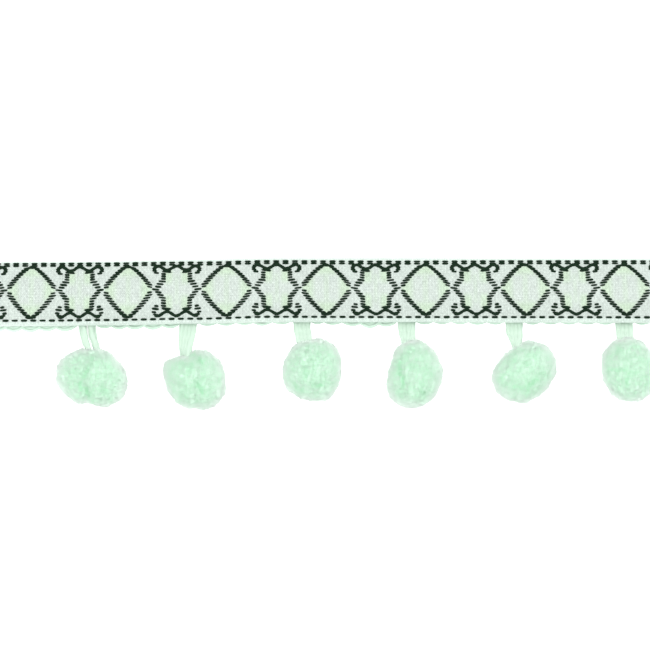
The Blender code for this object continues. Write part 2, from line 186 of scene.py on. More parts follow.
# The scallops along the heading's lower edge, one at each loop's root among them: where each
# one's middle is, and how far it peeps out below the ribbon.
Scallop = namedtuple("Scallop", "x peep")
SCALLOPS = tuple(Scallop(*each) for each in (
    (-96.8, 1.30), (-91.9, 1.30), (-87.0, 1.35), (-82.4, 1.50), (-77.8, 1.20), (-72.8, 1.20),
    (-66.6, 1.00), (-61.9, 0.50), (-57.8, 0.90), (-53.4, 0.95), (-48.3, 1.20), (-43.3, 0.90),
    (-38.4, 0.60), (-33.1, 0.35), (-27.9, 0.45), (-22.8, 0.35), (-18.1, 0.70), (-12.5, 0.25),
    (-7.0, 0.30), (-3.1, 0.30), (1.4, 0.45), (6.9, 0.75), (11.9, 1.40), (16.6, 0.95),
    (22.1, 0.50), (27.1, 0.35), (32.0, 0.25), (36.9, 0.25), (41.7, 0.40), (46.9, 0.30),
    (51.9, 0.25), (57.0, 0.25), (62.1, 0.25), (67.2, 0.25), (72.3, 0.25), (77.4, 0.25),
    (82.5, 0.25), (87.5, 0.25), (92.5, 0.25), (97.5, 0.25),
))
HEADING_TOP = -4.1  # across the ribbon
NOTCH_DEPTH = 1.75  # how far behind the ribbon's edge each loop draws the heading in


# ---- Properties ----


def length_property(name, description, millimetres):
    return FloatProperty(
        name=name,
        description=description,
        default=millimetres * MM,
        min=0,
        unit="LENGTH",
        precision=5,
    )


def amount_property(name, description, default, least=0.0, most=10000.0, **kind):
    """kind is its unit or subtype, where one fits."""
    return FloatProperty(
        name=name, description=description, default=default, min=least, max=most, **kind
    )


def colour_property(name, description, default):
    return FloatVectorProperty(
        name=name, description=description, default=default, size=3, min=0, max=1, subtype="COLOR"
    )


class RibbonProperties(bpy.types.PropertyGroup):
    width: length_property("Width", "Between the two selvedges", 18.0)
    thickness: length_property("Thickness", "Of the cloth between the figure's floats", 0.85)
    relief: length_property("Rib relief", "How far each woven row stands up", 0.05)
    float_width: length_property("Float width", "Of a dark float across the ribbon", 0.60)
    ground: colour_property("Ground", "The off-white ground", (0.392, 0.441, 0.409))
    lime: colour_property("Lime", "The pale lime filling of the figure", (0.370, 0.460, 0.358))
    selvedge: colour_property("Selvedge", "The mint-white edges", (0.445, 0.516, 0.472))
    edge: colour_property("Edge", "The turn of both selvedges", (0.500, 0.580, 0.530))
    dark: colour_property("Dark yarn", "The near-black green floats", (0.004, 0.012, 0.0055))
    # The dark yarn's lighter colour: a painted highlight where its filaments catch light, and its
    # slow mottle.
    dark_glint_and_mottle: colour_property("Dark yarn, glinting", "Where it catches light", (0.012, 0.029, 0.016))


class HeadingProperties(bpy.types.PropertyGroup):
    yarn_width: length_property("Yarn width", "Of one yarn of the braid, as it lies", 0.94)
    yarn_height: length_property("Yarn height", "Of one yarn of the braid, as it lies", 0.60)
    colour: colour_property("Yarn", "The braid's mint yarn", (0.528, 0.664, 0.566))
    shade: colour_property("Yarn, shaded", "Between the yarn's plies", (0.478, 0.636, 0.524))


class LoopProperties(bpy.types.PropertyGroup):
    strand: length_property("Strand", "Diameter of one strand", 1.12)
    twist: length_property("Twist", "Length of one turn of a strand's twist", 5.0)
    colour: colour_property("Yarn", "The loops' pale mint yarn", (0.474, 0.594, 0.502))
    shade: colour_property("Yarn, shaded", "Between the yarn's plies", (0.418, 0.562, 0.448))


class PileProperties(bpy.types.PropertyGroup):
    fibres: IntProperty(
        name="Fibres", description="Cut fibres on each pompom", default=17000, min=100, max=48000
    )
    fibre: length_property("Fibre", "Width of a fibre at its root", 0.34)
    core: amount_property(
        "Core", "Share of the pompom that is packed solid", 0.945, 0.5, 1.0, subtype="FACTOR"
    )
    colour: colour_property("Pile", "The pile's tips", (0.684, 0.872, 0.738))
    # Painted shade: the pile is deeper towards its roots.
    shade: colour_property("Pile, deep", "The pile towards its roots", (0.490, 0.845, 0.580))
    # Painted light: the pile is paler where it faces aside.
    rim: colour_property("Pile, sides", "The pile where it faces aside", (0.820, 0.940, 0.858))
    # Painted shade: the pile is darker deep in a crease.
    crease: colour_property("Pile, creased", "The pile deep in a crease", (0.330, 0.825, 0.455))


class StageProperties(bpy.types.PropertyGroup):
    floor: colour_property("Floor", "The plain pale floor", (0.93, 0.93, 0.93))
    glow: amount_property("Floor glow", "Light that shines up through the floor", 0.4)
    sky: amount_property("Soft light", "Strength of the light all round", 1.91)
    key: amount_property("Key light", "Strength of the large soft light", 0.7, unit="POWER")
    lens: amount_property("Lens", "Focal length in millimetres", 500, 10, unit="CAMERA")


# ---- Shader nodes as expressions ----


class Thread:
    """A socket of a material. Sums on it, with numbers on either side, add Math nodes."""

    def __init__(self, dye, socket):
        self.dye = dye
        self.socket = socket

    def __add__(self, other):
        return self.dye.math("ADD", self, other)

    __radd__ = __add__

    def __sub__(self, other):
        return self.dye.math("SUBTRACT", self, other)

    def __rsub__(self, other):
        return self.dye.math("SUBTRACT", other, self)

    def __mul__(self, other):
        return self.dye.math("MULTIPLY", self, other)

    __rmul__ = __mul__

    def wave(self, length):
        """A cosine of that wavelength."""
        return self.dye.math("COSINE", self * (2 * math.pi / length))


class Dye:
    """One material and its nodes."""

    def __init__(self, name, roughness, sheen=0.0, specular=0.15):
        self.material = bpy.data.materials.new(name)
        self.material.use_nodes = True
        self.tree = self.material.node_tree
        self.surface = self.tree.nodes["Principled BSDF"]
        self.surface.inputs["Roughness"].default_value = roughness
        self.surface.inputs["Sheen Weight"].default_value = sheen
        self.surface.inputs["Specular IOR Level"].default_value = specular

    def feed(self, socket, value):
        if isinstance(value, Thread):
            self.tree.links.new(value.socket, socket)
        elif socket.type == "RGBA":
            socket.default_value = (*value, 1.0)
        else:
            socket.default_value = value

    def node(self, kind, settings=None, sockets=None, output=0):
        """Adds a node: its settings first, then the values or links of its sockets."""
        made = self.tree.nodes.new(kind)
        for name, value in (settings or {}).items():
            setattr(made, name, value)
        for key, value in (sockets or {}).items():
            self.feed(made.inputs[key], value)
        return Thread(self, made.outputs[output])

    def math(self, operation, *values):
        return self.node("ShaderNodeMath", {"operation": operation}, dict(enumerate(values)))

    def clamp(self, value):
        return self.node("ShaderNodeClamp", None, {"Value": value})

    def mix(self, share, first, second, blend="MIX"):
        settings = {"data_type": "RGBA", "blend_type": blend}
        return self.node("ShaderNodeMix", settings, {0: share, 6: first, 7: second}, output=2)

    def attribute(self, name):
        return self.node("ShaderNodeAttribute", {"attribute_name": name}, output="Fac")

    def along_and_across(self, layer):
        """The two coordinates of one of the piece's own maps."""
        split = {"Vector": self.node("ShaderNodeUVMap", {"uv_map": layer})}
        return [
            self.node("ShaderNodeSeparateXYZ", None, split, output=axis) for axis in ("X", "Y")
        ]

    def noise(self, scale, detail=2.0):
        """Noise from -0.5 to 0.5 on the piece's object coordinates."""
        place = self.node("ShaderNodeTexCoord", output="Object")
        sockets = {"Vector": place, "Scale": scale, "Detail": detail}
        return self.node("ShaderNodeTexNoise", None, sockets) - 0.5

    def grain(self, along, across, scales):
        """Noise from -0.5 to 0.5 on two coordinates, each times its scale."""
        scaled = {"X": along * scales[0], "Y": across * scales[1]}
        place = self.node("ShaderNodeCombineXYZ", None, scaled)
        sockets = {"Vector": place, "Scale": 1.0, "Detail": 1.0}
        return self.node("ShaderNodeTexNoise", {"noise_dimensions": "2D"}, sockets) - 0.5

    def bump(self, height, distance):
        """distance is in millimetres."""
        sockets = {"Height": height, "Distance": distance * MM}
        self.feed(self.surface.inputs["Normal"], self.node("ShaderNodeBump", None, sockets))

    def colour(self, value):
        self.feed(self.surface.inputs["Base Color"], value)


# ---- Meshes from arrays ----


def wall_faces(rings, sides):
    """Quads between rings of as many points each, which are numbered ring by ring."""
    ring, side = np.meshgrid(np.arange(rings - 1), np.arange(sides), indexing="ij")
    start = ring * sides
    beside = (side + 1) % sides
    corners = (start + side, start + beside, start + sides + beside, start + sides + side)
    return np.stack(corners, axis=-1).reshape(-1, 4)


def capped_faces(rings, sides):
    """The same and, for a closed shape, triangles from the first and last ring to two more
    points: the one in the middle of each."""
    side = np.arange(sides)
    beside = (side + 1) % sides
    last = (rings - 1) * sides
    poles = np.full(sides, rings * sides)
    start = np.stack((poles, beside, side), axis=1)
    end = np.stack((poles + 1, last + side, last + beside), axis=1)
    return wall_faces(rings, sides), np.vstack((start, end))


def repeated_faces(faces, points_each, copies):
    """The same faces for each of several equal runs of points."""
    shift = np.arange(copies)[:, None, None] * points_each
    return (faces[None] + shift).reshape(-1, faces.shape[1])


def new_object(name, data):
    """An object at the origin, in the scene."""
    made = bpy.data.objects.new(name, data)
    bpy.context.scene.collection.objects.link(made)
    return made


def make_mesh(name, points, faces, material, maps=None, values=None, normals=None):
    """A smooth mesh object from points in millimetres and lists of equal-sided faces. maps
    are UV places for each point, and values are numbers for each point, both by name."""
    corners = np.concatenate([group.ravel() for group in faces])
    sides = np.concatenate([np.full(len(group), group.shape[1]) for group in faces])
    mesh = bpy.data.meshes.new(name)
    mesh.vertices.add(len(points))
    mesh.vertices.foreach_set("co", (points * MM).astype(np.float32).ravel())
    mesh.loops.add(len(corners))
    mesh.loops.foreach_set("vertex_index", corners.astype(np.int32))
    mesh.polygons.add(len(sides))
    starts = np.concatenate(([0], np.cumsum(sides)[:-1]))
    mesh.polygons.foreach_set("loop_start", starts.astype(np.int32))
    mesh.update(calc_edges=True)
    mesh.shade_smooth()
    for layer, places in (maps or {}).items():
        uv = mesh.uv_layers.new(name=layer)
        uv.uv.foreach_set("vector", places[corners].astype(np.float32).ravel())
    for layer, numbers in (values or {}).items():
        attribute = mesh.attributes.new(layer, "FLOAT", "POINT")
        attribute.data.foreach_set("value", numbers.astype(np.float32))
    if normals is not None:
        mesh.normals_split_custom_set_from_vertices(normals)
    mesh.materials.append(material)
    return new_object(name, mesh)


def make_yarns(name, material, *parts):
    """One mesh of several results of tubes, with a map of the places along and round them."""
    firsts = np.cumsum([0] + [len(points) for points, _, _ in parts])
    faces = [group + first for (_, each, _), first in zip(parts, firsts) for group in each]
    points, places = (np.vstack([part[k] for part in parts]) for k in (0, 2))
    return make_mesh(name, points, faces, material, {"yarn": places})


def dress(piece, slot, *nodes):
    """The piece rides on the trim and stands for the nodes; the slot is not used."""
    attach(piece, "root")
    if nodes:
        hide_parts(*nodes)


def unit(vectors):
    """The same directions, each of length one."""
    return vectors / np.linalg.norm(vectors, axis=-1, keepdims=True)


def round_angles(count):
    """Even angles all the way round."""
    return 2 * math.pi * np.arange(count) / count


def tubes(paths, wide, high, sides):
    """Closed tubes along paths, an array of tube, station and coordinate. Each ring is an
    ellipse, wide to the path's side and high above it; both may vary by tube, station and side.
    The ends are closed by a point in the middle of each end ring.
    Returns points, faces and, for each point, its place along and round its tube from 0 to 1."""
    count, stations, _ = paths.shape
    ahead = unit(np.gradient(paths, axis=1))
    aside = unit(np.cross(ahead, (0.0, 0.0, 1.0)))
    over = np.cross(aside, ahead)
    angle = round_angles(sides)[:, None]
    wide = np.broadcast_to(wide, (count, stations, sides))[..., None]
    high = np.broadcast_to(high, (count, stations, sides))[..., None]
    rings = (
        paths[:, :, None]
        + aside[:, :, None] * np.cos(angle) * wide
        + over[:, :, None] * np.sin(angle) * high
    )
    points = np.concatenate((rings.reshape(count, -1, 3), paths[:, :1], paths[:, -1:]), axis=1)
    stretch = np.linspace(0, 1, stations)
    along, around = np.meshgrid(stretch, np.arange(sides) / sides, indexing="ij")
    place = np.column_stack((along.ravel(), around.ravel()))
    place = np.vstack((place, ((0, 0), (1, 0))))
    each = capped_faces(stations, sides)
    faces = [repeated_faces(group, stations * sides + 2, count) for group in each]
    return points.reshape(-1, 3), faces, np.tile(place, (count, 1))


# ---- Shapes of the cloth ----


def fade(value, start, end):
    """0 at start and 1 at end and past them, level at both: three squares of the share of the
    way less two cubes of it."""
    t = np.clip((value - start) / (end - start), 0.0, 1.0)
    return t * t * (3 - 2 * t)


def lie_at(x, column):
    """The table's values in that column, joined by curves that are level at each place."""
    places = np.array([lie.x for lie in LIES])
    values = np.array([getattr(lie, column) for lie in LIES])
    after = np.clip(np.searchsorted(places, x), 1, len(places) - 1)
    share = fade(x, places[after - 1], places[after])
    return values[after - 1] + (values[after] - values[after - 1]) * share


def ribbon_middle(x):
    """Y of the ribbon's middle line."""
    return RIBBON_MIDDLE_Y + lie_at(x, "y")


def underside(x, across, width):
    """Height of the ribbon's back: on the table, then over the heading by a fade, and puckered
    along its edge by half of one and a sine times a cosine of x."""
    rise = fade(across, RAMP_TOP, RAMP_FOOT)
    edge = fade(across, RAMP_FOOT, -width / 2)
    short, long = PUCKER_WAVES
    wave = 0.5 + 0.5 * np.sin(x / short) * np.cos(x / long)
    return RIBBON_LIFT * rise + PUCKER * edge * wave


def row_to_across(x, row):
    """Distance of a row from the ribbon's middle: a step for each row from the figure's middle
    row, less the closing times the square of the row."""
    above = ROW_ABOVE * -row - ROW_ABOVE_CLOSING * row**2
    below = lie_at(x, "below") * -row + ROW_BELOW_CLOSING * row**2
    return lie_at(x, "figure") + np.where(row > 0, below, above)


def across_to_row(x, across):
    """The other way round, by solving each square."""
    off = across - lie_at(x, "figure")
    step = np.where(off < 0, lie_at(x, "below"), ROW_ABOVE)
    closing = np.where(off < 0, ROW_BELOW_CLOSING, ROW_ABOVE_CLOSING)
    inside = np.maximum(step**2 - 4 * closing * np.abs(off), 0)
    return -np.sign(off) * (step - np.sqrt(inside)) / (2 * closing)


def slip(x, row):
    """How far the figure has slipped along the ribbon at a row: its drift, and the skew times
    the row's share of the figure's height."""
    return lie_at(x, "drift") + lie_at(x, "skew") * row / (2 * LAST_ROW)


def picks_from(x, row, first):
    """Distance in picks from the nearest middle of a motif, which repeats from first."""
    return (((x - slip(x, row)) / REPEAT - first + 0.5) % 1 - 0.5) * PICKS


# ---- The figure: lozenges and cartouches drawn in dark floats, with dashes along both edges ----

# A float is given in picks from its motif's middle and in rows. Its stroke is a share of the
# usual float's width and its slope in degrees, falling to the right.
Float = namedtuple("Float", "pick row length width lean")
Stroke = namedtuple("Stroke", "width lean")
FLOAT_OVERRUN = 1.0  # picks that a float runs past its ends in all, because they are rounded
SHORTEST_FLOAT = 2  # picks left at a cut end

# The lozenge's upper and lower half: the way it points, its rows, how many picks its sides bow
# out half way along, the row of its tip, and the strokes of its left and right side.
Half = namedtuple("Half", "end rows bow tip left right")
LOZENGE_HALVES = (
    Half(-1, 9, 1.1, 9.25, Stroke(0.90, -8), Stroke(0.84, 14)),
    Half(1, 10, 1.6, 9.9, Stroke(0.95, 9), Stroke(0.88, -8)),
)
LOZENGE_ROWS = 10
LOZENGE_REACH = 24.2
LOZENGE_STEP = 2.38  # picks that the sides draw in by for each row
CORNER_FLOAT = 4.4
SIDE_FLOAT = 7.1
# Each tip has one float over it and one on either side of it, a little nearer to the middle.
CAP_FLOAT = 6.0
CAP_WIDTH = 1.15
TIP_FLOAT = 10.0
TIP_STROKE = Stroke(1.05, 33)
TIP_PICK = 4.4
TIP_DROP = 0.65

# Straight parts of the cartouche's right half: a row, and the picks where its float runs.
Run = namedtuple("Run", "row start end")
CARTOUCHE_RUNS = (
    Run(0, 17.9, 24.9),
    Run(-1, 16.0, 21.7),
    Run(-2, 13.6, 20.3),
    Run(-3, 11.2, 18.2),
    Run(-4, 11.2, 15.6),
    Run(-5, 11.2, 15.4),
    Run(-6, 11.2, 15.5),
    Run(-6.9, 5.6, 14.9),
    Run(-7.25, 6.4, 13.6),
    Run(1, 15.6, 21.7),
    Run(2, 13.2, 19.9),
    Run(3, 11.0, 17.9),
    Run(4, 11.0, 15.6),
    Run(5, 10.8, 15.5),
    Run(6, 10.6, 15.5),
    Run(7, 5.6, 15.2),
    Run(7.35, 6.6, 14.0),
)
HOOK_RUNS = (
    Run(-9.0, 19.9, 23.6),
    Run(-8.3, 21.1, 24.6),
    Run(-7.4, 20.5, 24.6),
    Run(-6.5, 18.4, 23.0),
    Run(6.05, 18.6, 22.2),
    Run(7.1, 18.2, 24.6),
    Run(8.35, 20.8, 24.8),
    Run(9.3, 18.2, 23.4),
)
CARTOUCHE_STROKE = Stroke(0.94, 7)
HOOK_STROKE = Stroke(1.05, 7)

# The waves above and below: their mean row, their swing in rows, and how far out they reach.
Wave = namedtuple("Wave", "row swing reach")
WAVES = (Wave(-8.55, -0.85, 20.0), Wave(9.02, 0.77, 20.0))
WAVE_LENGTH = 19.2
WAVE_FLOAT = 5.4
WAVE_STEP = 2.2
WAVE_WIDTH = 1.35
WAVE_BEND = 1.1  # how far out the floats over the bends lie, in swings

# The dashes along both edges keep their own pitch. Each row of them has a width.
DASH_PITCH = 9.4
DASH_START = -2.9
DASH_LENGTH = 6.6
Dashes = namedtuple("Dashes", "row width")
DASH_ROWS = (Dashes(-11.12, 0.92), Dashes(-10.1, 1.0), Dashes(11.05, 1.05))


def lozenge_floats():
    """Both sides of each row. The first two rows reach as far as each other. From there the
    sides draw in evenly, and bow out by half a sine. Each float leans along its side, and
    longer ones lie over them at both tips."""
    floats = []
    for row in range(1, LOZENGE_ROWS + 1):
        straight = LOZENGE_REACH - LOZENGE_STEP * max(row - 2, 0)
        bow = math.sin(math.pi * (row - 1) / (LOZENGE_ROWS - 1))
        for half in LOZENGE_HALVES:
            if row > half.rows:
                continue
            outer = straight + half.bow * bow
            inner = max(outer - (CORNER_FLOAT if row == 1 else SIDE_FLOAT), 0)
            middle = (outer + inner) / 2
            length = outer - inner + FLOAT_OVERRUN
            floats.append(Float(-middle, half.end * row, length, *half.left))
            floats.append(Float(middle, half.end * row, length, *half.right))
    for half in LOZENGE_HALVES:
        floats.append(Float(0, half.end * half.tip, CAP_FLOAT, CAP_WIDTH, 0))
        row = half.end * (half.tip - TIP_DROP)
        for side in (-1, 1):
            lean = -half.end * side * TIP_STROKE.lean
            floats.append(Float(side * TIP_PICK, row, TIP_FLOAT, TIP_STROKE.width, lean))
    return floats


def run_floats(runs, stroke):
    """Each run on the right and its mirror image on the left."""
    floats = []
    for run in runs:
        middle = (run.start + run.end) / 2
        length = run.end - run.start + FLOAT_OVERRUN
        floats.append(Float(middle, run.row, length, stroke.width, -stroke.lean))
        floats.append(Float(-middle, run.row, length, stroke.width, stroke.lean))
    return floats


def wave_floats():
    """Short floats along a cosine, each leaning as the cosine slopes, and one more over each
    of its outer bends."""
    floats = []
    row_height = ROW_ABOVE / PICK
    for wave in WAVES:
        for pick in np.arange(-wave.reach, wave.reach + 0.1, WAVE_STEP):
            angle = 2 * math.pi * pick / WAVE_LENGTH
            row = wave.row + wave.swing * math.cos(angle)
            slope = -wave.swing * math.sin(angle) * 2 * math.pi / WAVE_LENGTH * row_height
            lean = math.degrees(math.atan(slope))
            floats.append(Float(pick, row, WAVE_FLOAT, WAVE_WIDTH, lean))
        for pick in (-WAVE_LENGTH, 0, WAVE_LENGTH):
            outer = wave.row + WAVE_BEND * wave.swing
            floats.append(Float(pick, outer, WAVE_FLOAT, WAVE_WIDTH, 0))
    return floats


def edge_dashes():
    """The dashes of the whole ribbon, in picks from its middle."""
    reach = LENGTH / PICK / 2 + DASH_PITCH
    picks = np.arange(-math.ceil(reach / DASH_PITCH), math.ceil(reach / DASH_PITCH) + 1)
    picks = picks * DASH_PITCH + DASH_START
    return [Float(pick, row, DASH_LENGTH, width, 0) for row, width in DASH_ROWS for pick in picks]


def figure_floats():
    """Every float on the ribbon, as an array of x, row, length, width share and lean. Floats
    that would cross a cut end are shortened to it."""
    lozenge = np.array(lozenge_floats())
    cartouche = run_floats(CARTOUCHE_RUNS, CARTOUCHE_STROKE) + run_floats(HOOK_RUNS, HOOK_STROKE)
    cartouche = np.array(cartouche + wave_floats())
    placed = [(np.array(edge_dashes()), 0)]
    for repeat in range(-REPEATS // 2, REPEATS // 2 + 2):
        placed += [(lozenge, repeat), (cartouche, repeat + 0.5)]
    floats = []
    for motif, middle in placed:
        copy = motif.copy()
        copy[:, 0] = middle * REPEAT + motif[:, 0] * PICK
        copy[:, 0] += slip(copy[:, 0], copy[:, 1])
        floats.append(copy)
    floats = np.vstack(floats)
    half = floats[:, 2] * PICK / 2
    low = np.maximum(floats[:, 0] - half, -LENGTH / 2)
    high = np.minimum(floats[:, 0] + half, LENGTH / 2)
    kept = high - low > SHORTEST_FLOAT * PICK
    made = np.column_stack(((low + high) / 2, floats[:, 1], high - low, floats[:, 3:]))
    return made[kept]


# The lime filling, in picks and rows from a motif's middle: where each of its soft edges starts
# and ends. The lozenge's corners are in shares of the way out to its sides.
LOZENGE_EDGE = (1.02, 0.92)
CORNER_EDGE = (0.36, 0.70)
LOZENGE_STRIPE, LOZENGE_STRIPE_LIME = (4.0, 1.0), 0.45
PATCH_PICKS = ((1.5, 7.5), (13.5, 10.5))
PATCH_ROWS = ((0.6, 4.0), (8.6, 6.6))
STRIPE_PICKS, STRIPE_ROWS, STRIPE_LIME = (3.0, 1.0), (6.5, 4.5), 0.35
SELVEDGE_ROWS = (LAST_ROW + 0.1, LAST_ROW + 0.8)


def lime_share(x, across):
    """How lime the cloth is: the lozenge's four corners and a faint stripe down its middle, and
    four patches and a stripe in the cartouche, all with soft edges."""
    rows = across_to_row(x, across)
    picks = np.abs(picks_from(x, rows, 0))
    from_middle = np.abs(picks_from(x, rows, 0.5))
    rows = np.abs(rows)
    wide = picks / (LOZENGE_REACH + 1)
    tall = rows / LOZENGE_ROWS
    corner = fade(np.maximum(wide, tall), *CORNER_EDGE)
    stripe = LOZENGE_STRIPE_LIME * fade(picks, *LOZENGE_STRIPE)
    lozenge = fade(wide + tall, *LOZENGE_EDGE) * np.maximum(corner, stripe)
    patch = math.prod(fade(from_middle, *edge) for edge in PATCH_PICKS)
    patch = patch * math.prod(fade(rows, *edge) for edge in PATCH_ROWS)
    stripe = STRIPE_LIME * fade(from_middle, *STRIPE_PICKS) * fade(rows, *STRIPE_ROWS)
    return np.maximum(lozenge, np.maximum(patch, stripe))


def selvedge_share(x, across):
    """1 outside the edge dashes and 0 inside them, with a fade between."""
    return fade(np.abs(across_to_row(x, across)), *SELVEDGE_ROWS)


# ---- Ribbon ----

TOP_STATIONS = 66
BACK_STATIONS = 18
EDGE_STATIONS = 6
RIBBON_STATIONS = 620
UNEVEN_PICKS = 8  # length of the wave that makes the cloth uneven
UNEVEN_SHARE = 0.5
UNEVEN_SLANT = 1.3
SELVEDGE_WAVE = 0.05
EDGE_SHOWN = 0.55
FLOAT_SIDES = 6
FLOAT_STATIONS = 8
FLOAT_END = 0.995  # place of the last ring, which is not yet drawn in to a point
FLOAT_BLUNTNESS = 5
FLOAT_FLATNESS = 0.42  # height of a float as a share of its width
FLOAT_BULGE = 0.07
FLOAT_UNEVEN, FLOAT_UNEVEN_TURN = 0.12, 2.4

# Shares of the cloth's tone: its checks, its ribs, single threads, specks and slow patches. A
# grain has two scales: from pick to pick and from row to row.
CHECK_TONE, RIB_TONE, THREAD_TONE, SPECK_TONE, PATCH_TONE = 0.06, 0.03, 0.28, 0.40, 0.20
WEFT_GRAIN, WARP_GRAIN, SPECK_GRAIN = (0.9, 0.3), (0.2, 1.6), (0.7, 2.2)
PATCH_SCALE = 900.0
CLOTH_BUMP, CHECK_BUMP, COARSE_BUMP = 0.05, 0.6, 0.3
# The dark yarn: its filaments, how often they wind round it, the share of painted highlight
# along its filaments, and how much its slow mottle lightens it.
FILAMENTS, FILAMENT_TURNS, FILAMENT_BUMP = 6, 1.43, 0.02
FILAMENT_GLINT, MOTTLE_TONE, MOTTLE_SCALE = 0.2, 0.7, 1500.0


def ribbon_profile(width, thickness):
    """A closed round trip across the ribbon: over the top, round one selvedge in a half circle,
    back along the underside and round the other. Gives across, and how high in the cloth from
    0 to 1."""
    round_off = thickness / 2
    flat = width / 2 - round_off
    angle = math.pi * (np.arange(EDGE_STATIONS) + 0.5) / EDGE_STATIONS
    edge = flat + round_off * np.sin(angle)
    fall = 0.5 + 0.5 * np.cos(angle)
    top = np.linspace(-flat, flat, TOP_STATIONS)
    back = np.linspace(flat, -flat, BACK_STATIONS)
    height = np.concatenate((0 * top + 1, fall, 0 * back, 1 - fall))
    return np.concatenate((top, edge, back, -edge)), height


def woven_relief(x, across, relief):
    """Ribs along the rows, each a cosine, and a weaker sine along the ribbon, which slants from
    row to row and makes the cloth a little uneven."""
    row = across_to_row(x, across)
    ribs = np.cos(2 * math.pi * row)
    uneven = np.sin(2 * math.pi * x / (UNEVEN_PICKS * PICK) + UNEVEN_SLANT * row)
    return relief / 2 * (ribs + UNEVEN_SHARE * uneven) * (1 - selvedge_share(x, across))


def ribbon_points(x, across, level, properties):
    """The cloth's point at x and across, level from its back at 0 to its face at 1. Its height
    is the back's, and that share of the thickness and the relief. A sine with one wave in two
    picks makes the selvedges wavy."""
    width = properties.width / MM
    thickness = properties.thickness / MM
    lift = underside(x, across, width)
    relief = woven_relief(x, across, properties.relief / MM)
    edge = fade(np.abs(across), (width - thickness) / 2, width / 2)
    fringe = SELVEDGE_WAVE * edge * np.sin(math.pi * x / PICK) * np.sign(across)
    y = ribbon_middle(x) + across + fringe
    return np.stack((x, y, lift + level * (thickness + relief)), axis=-1)


def weave_cloth(properties):
    """The ribbon's shell: its profile carried along X, with its cut ends closed."""
    width = properties.width / MM
    across, level = ribbon_profile(width, properties.thickness / MM)
    x = np.linspace(-LENGTH / 2, LENGTH / 2, RIBBON_STATIONS)
    x, across = np.meshgrid(x, across, indexing="ij")
    points = ribbon_points(x, across, level[None], properties).reshape(-1, 3)
    end = np.arange(x.shape[1])[None]
    last = (x.shape[0] - 1) * x.shape[1]
    faces = [wall_faces(*x.shape)[:, ::-1], end, last + end[:, ::-1]]
    rows = across_to_row(x, across)
    weave = np.stack((x / LENGTH, rows / (2 * ROWS_SHOWN)), axis=-1).reshape(-1, 2) + 0.5
    values = {
        "lime": (lime_share(x, across) * (level > 0.5)).ravel(),
        "selvedge": selvedge_share(x, across).ravel(),
        "edge": fade(np.abs(across), width / 2 - EDGE_SHOWN, width / 2).ravel(),
    }
    return make_mesh("woven_cloth", points, faces, cloth_dye(properties), {"weave": weave}, values)


def lay_floats(properties):
    """Each float is a tube that follows the cloth's face, arched a little over it and drawn in
    at both ends as the square root of one less the fifth power of the distance from its middle."""
    floats = figure_floats()
    x, row, length, share, lean = floats.T
    s = np.linspace(-FLOAT_END, FLOAT_END, FLOAT_STATIONS)[None]
    run = s * length[:, None] / 2
    run_across = row_to_across(x, row)[:, None] - np.tan(np.radians(lean))[:, None] * run
    paths = ribbon_points(x[:, None] + run, run_across, 1.0, properties)
    paths[..., 2] += FLOAT_BULGE * (1 - s**2)
    uneven = 1 + FLOAT_UNEVEN * np.sin(np.arange(len(floats)) * FLOAT_UNEVEN_TURN)
    wide = (properties.float_width / MM / 2 * share * uneven)[:, None]
    wide = (wide * np.sqrt(1 - np.abs(s) ** FLOAT_BLUNTNESS))[..., None]
    yarns = tubes(paths, wide, FLOAT_FLATNESS * wide, FLOAT_SIDES)
    return make_yarns("figure_floats", float_dye(properties), yarns)


def cloth_dye(properties):
    """White ground, lime filling and mint selvedges, over a fine checked weave of rows and
    picks, with the grain of warp and weft, slow patches and stray darker specks."""
    dye = Dye("woven_cloth", 0.82, sheen=0.1)
    along, over = dye.along_and_across("weave")
    picks = along * (PICKS * REPEATS)
    rows = over * (2 * ROWS_SHOWN)
    check = picks.wave(2) * rows.wave(1)
    coarse = picks.wave(4) * rows.wave(2)
    ribs = rows.wave(1) + picks.wave(3)
    threads = dye.grain(picks, rows, WEFT_GRAIN) + dye.grain(picks, rows, WARP_GRAIN)
    tone = (check + coarse) * CHECK_TONE + ribs * RIB_TONE + threads * THREAD_TONE
    tone = tone + dye.grain(picks, rows, SPECK_GRAIN) * SPECK_TONE
    tone = tone + dye.noise(PATCH_SCALE) * PATCH_TONE
    base = dye.mix(dye.attribute("lime"), properties.ground, properties.lime)
    base = dye.mix(dye.attribute("selvedge"), base, properties.selvedge)
    base = dye.mix(1.0, base, tone + 1.0, "MULTIPLY")
    dye.colour(dye.mix(dye.attribute("edge"), base, properties.edge))
    dye.bump(check * CHECK_BUMP + coarse * COARSE_BUMP + threads, CLOTH_BUMP)
    return dye.material


def float_dye(properties):
    """Near-black yarn with filaments along the float, a painted highlight on them and a slow
    mottle.
    """
    dye = Dye("dark_yarn", 0.7, specular=0.05)
    along, around = dye.along_and_across("yarn")
    filament = (around * FILAMENTS + along * FILAMENT_TURNS).wave(1)
    mottle = dye.noise(MOTTLE_SCALE) + 0.5
    # Painted highlight: the filaments' cosine lightens the yarn towards its glint colour; the slow
    # mottle does so as a random tone.
    glint_and_mottle = filament * FILAMENT_GLINT + mottle * MOTTLE_TONE
    dye.colour(dye.mix(glint_and_mottle, properties.dark, properties.dark_glint_and_mottle))
    dye.bump(filament, FILAMENT_BUMP)
    return dye.material


# ---- Heading ----

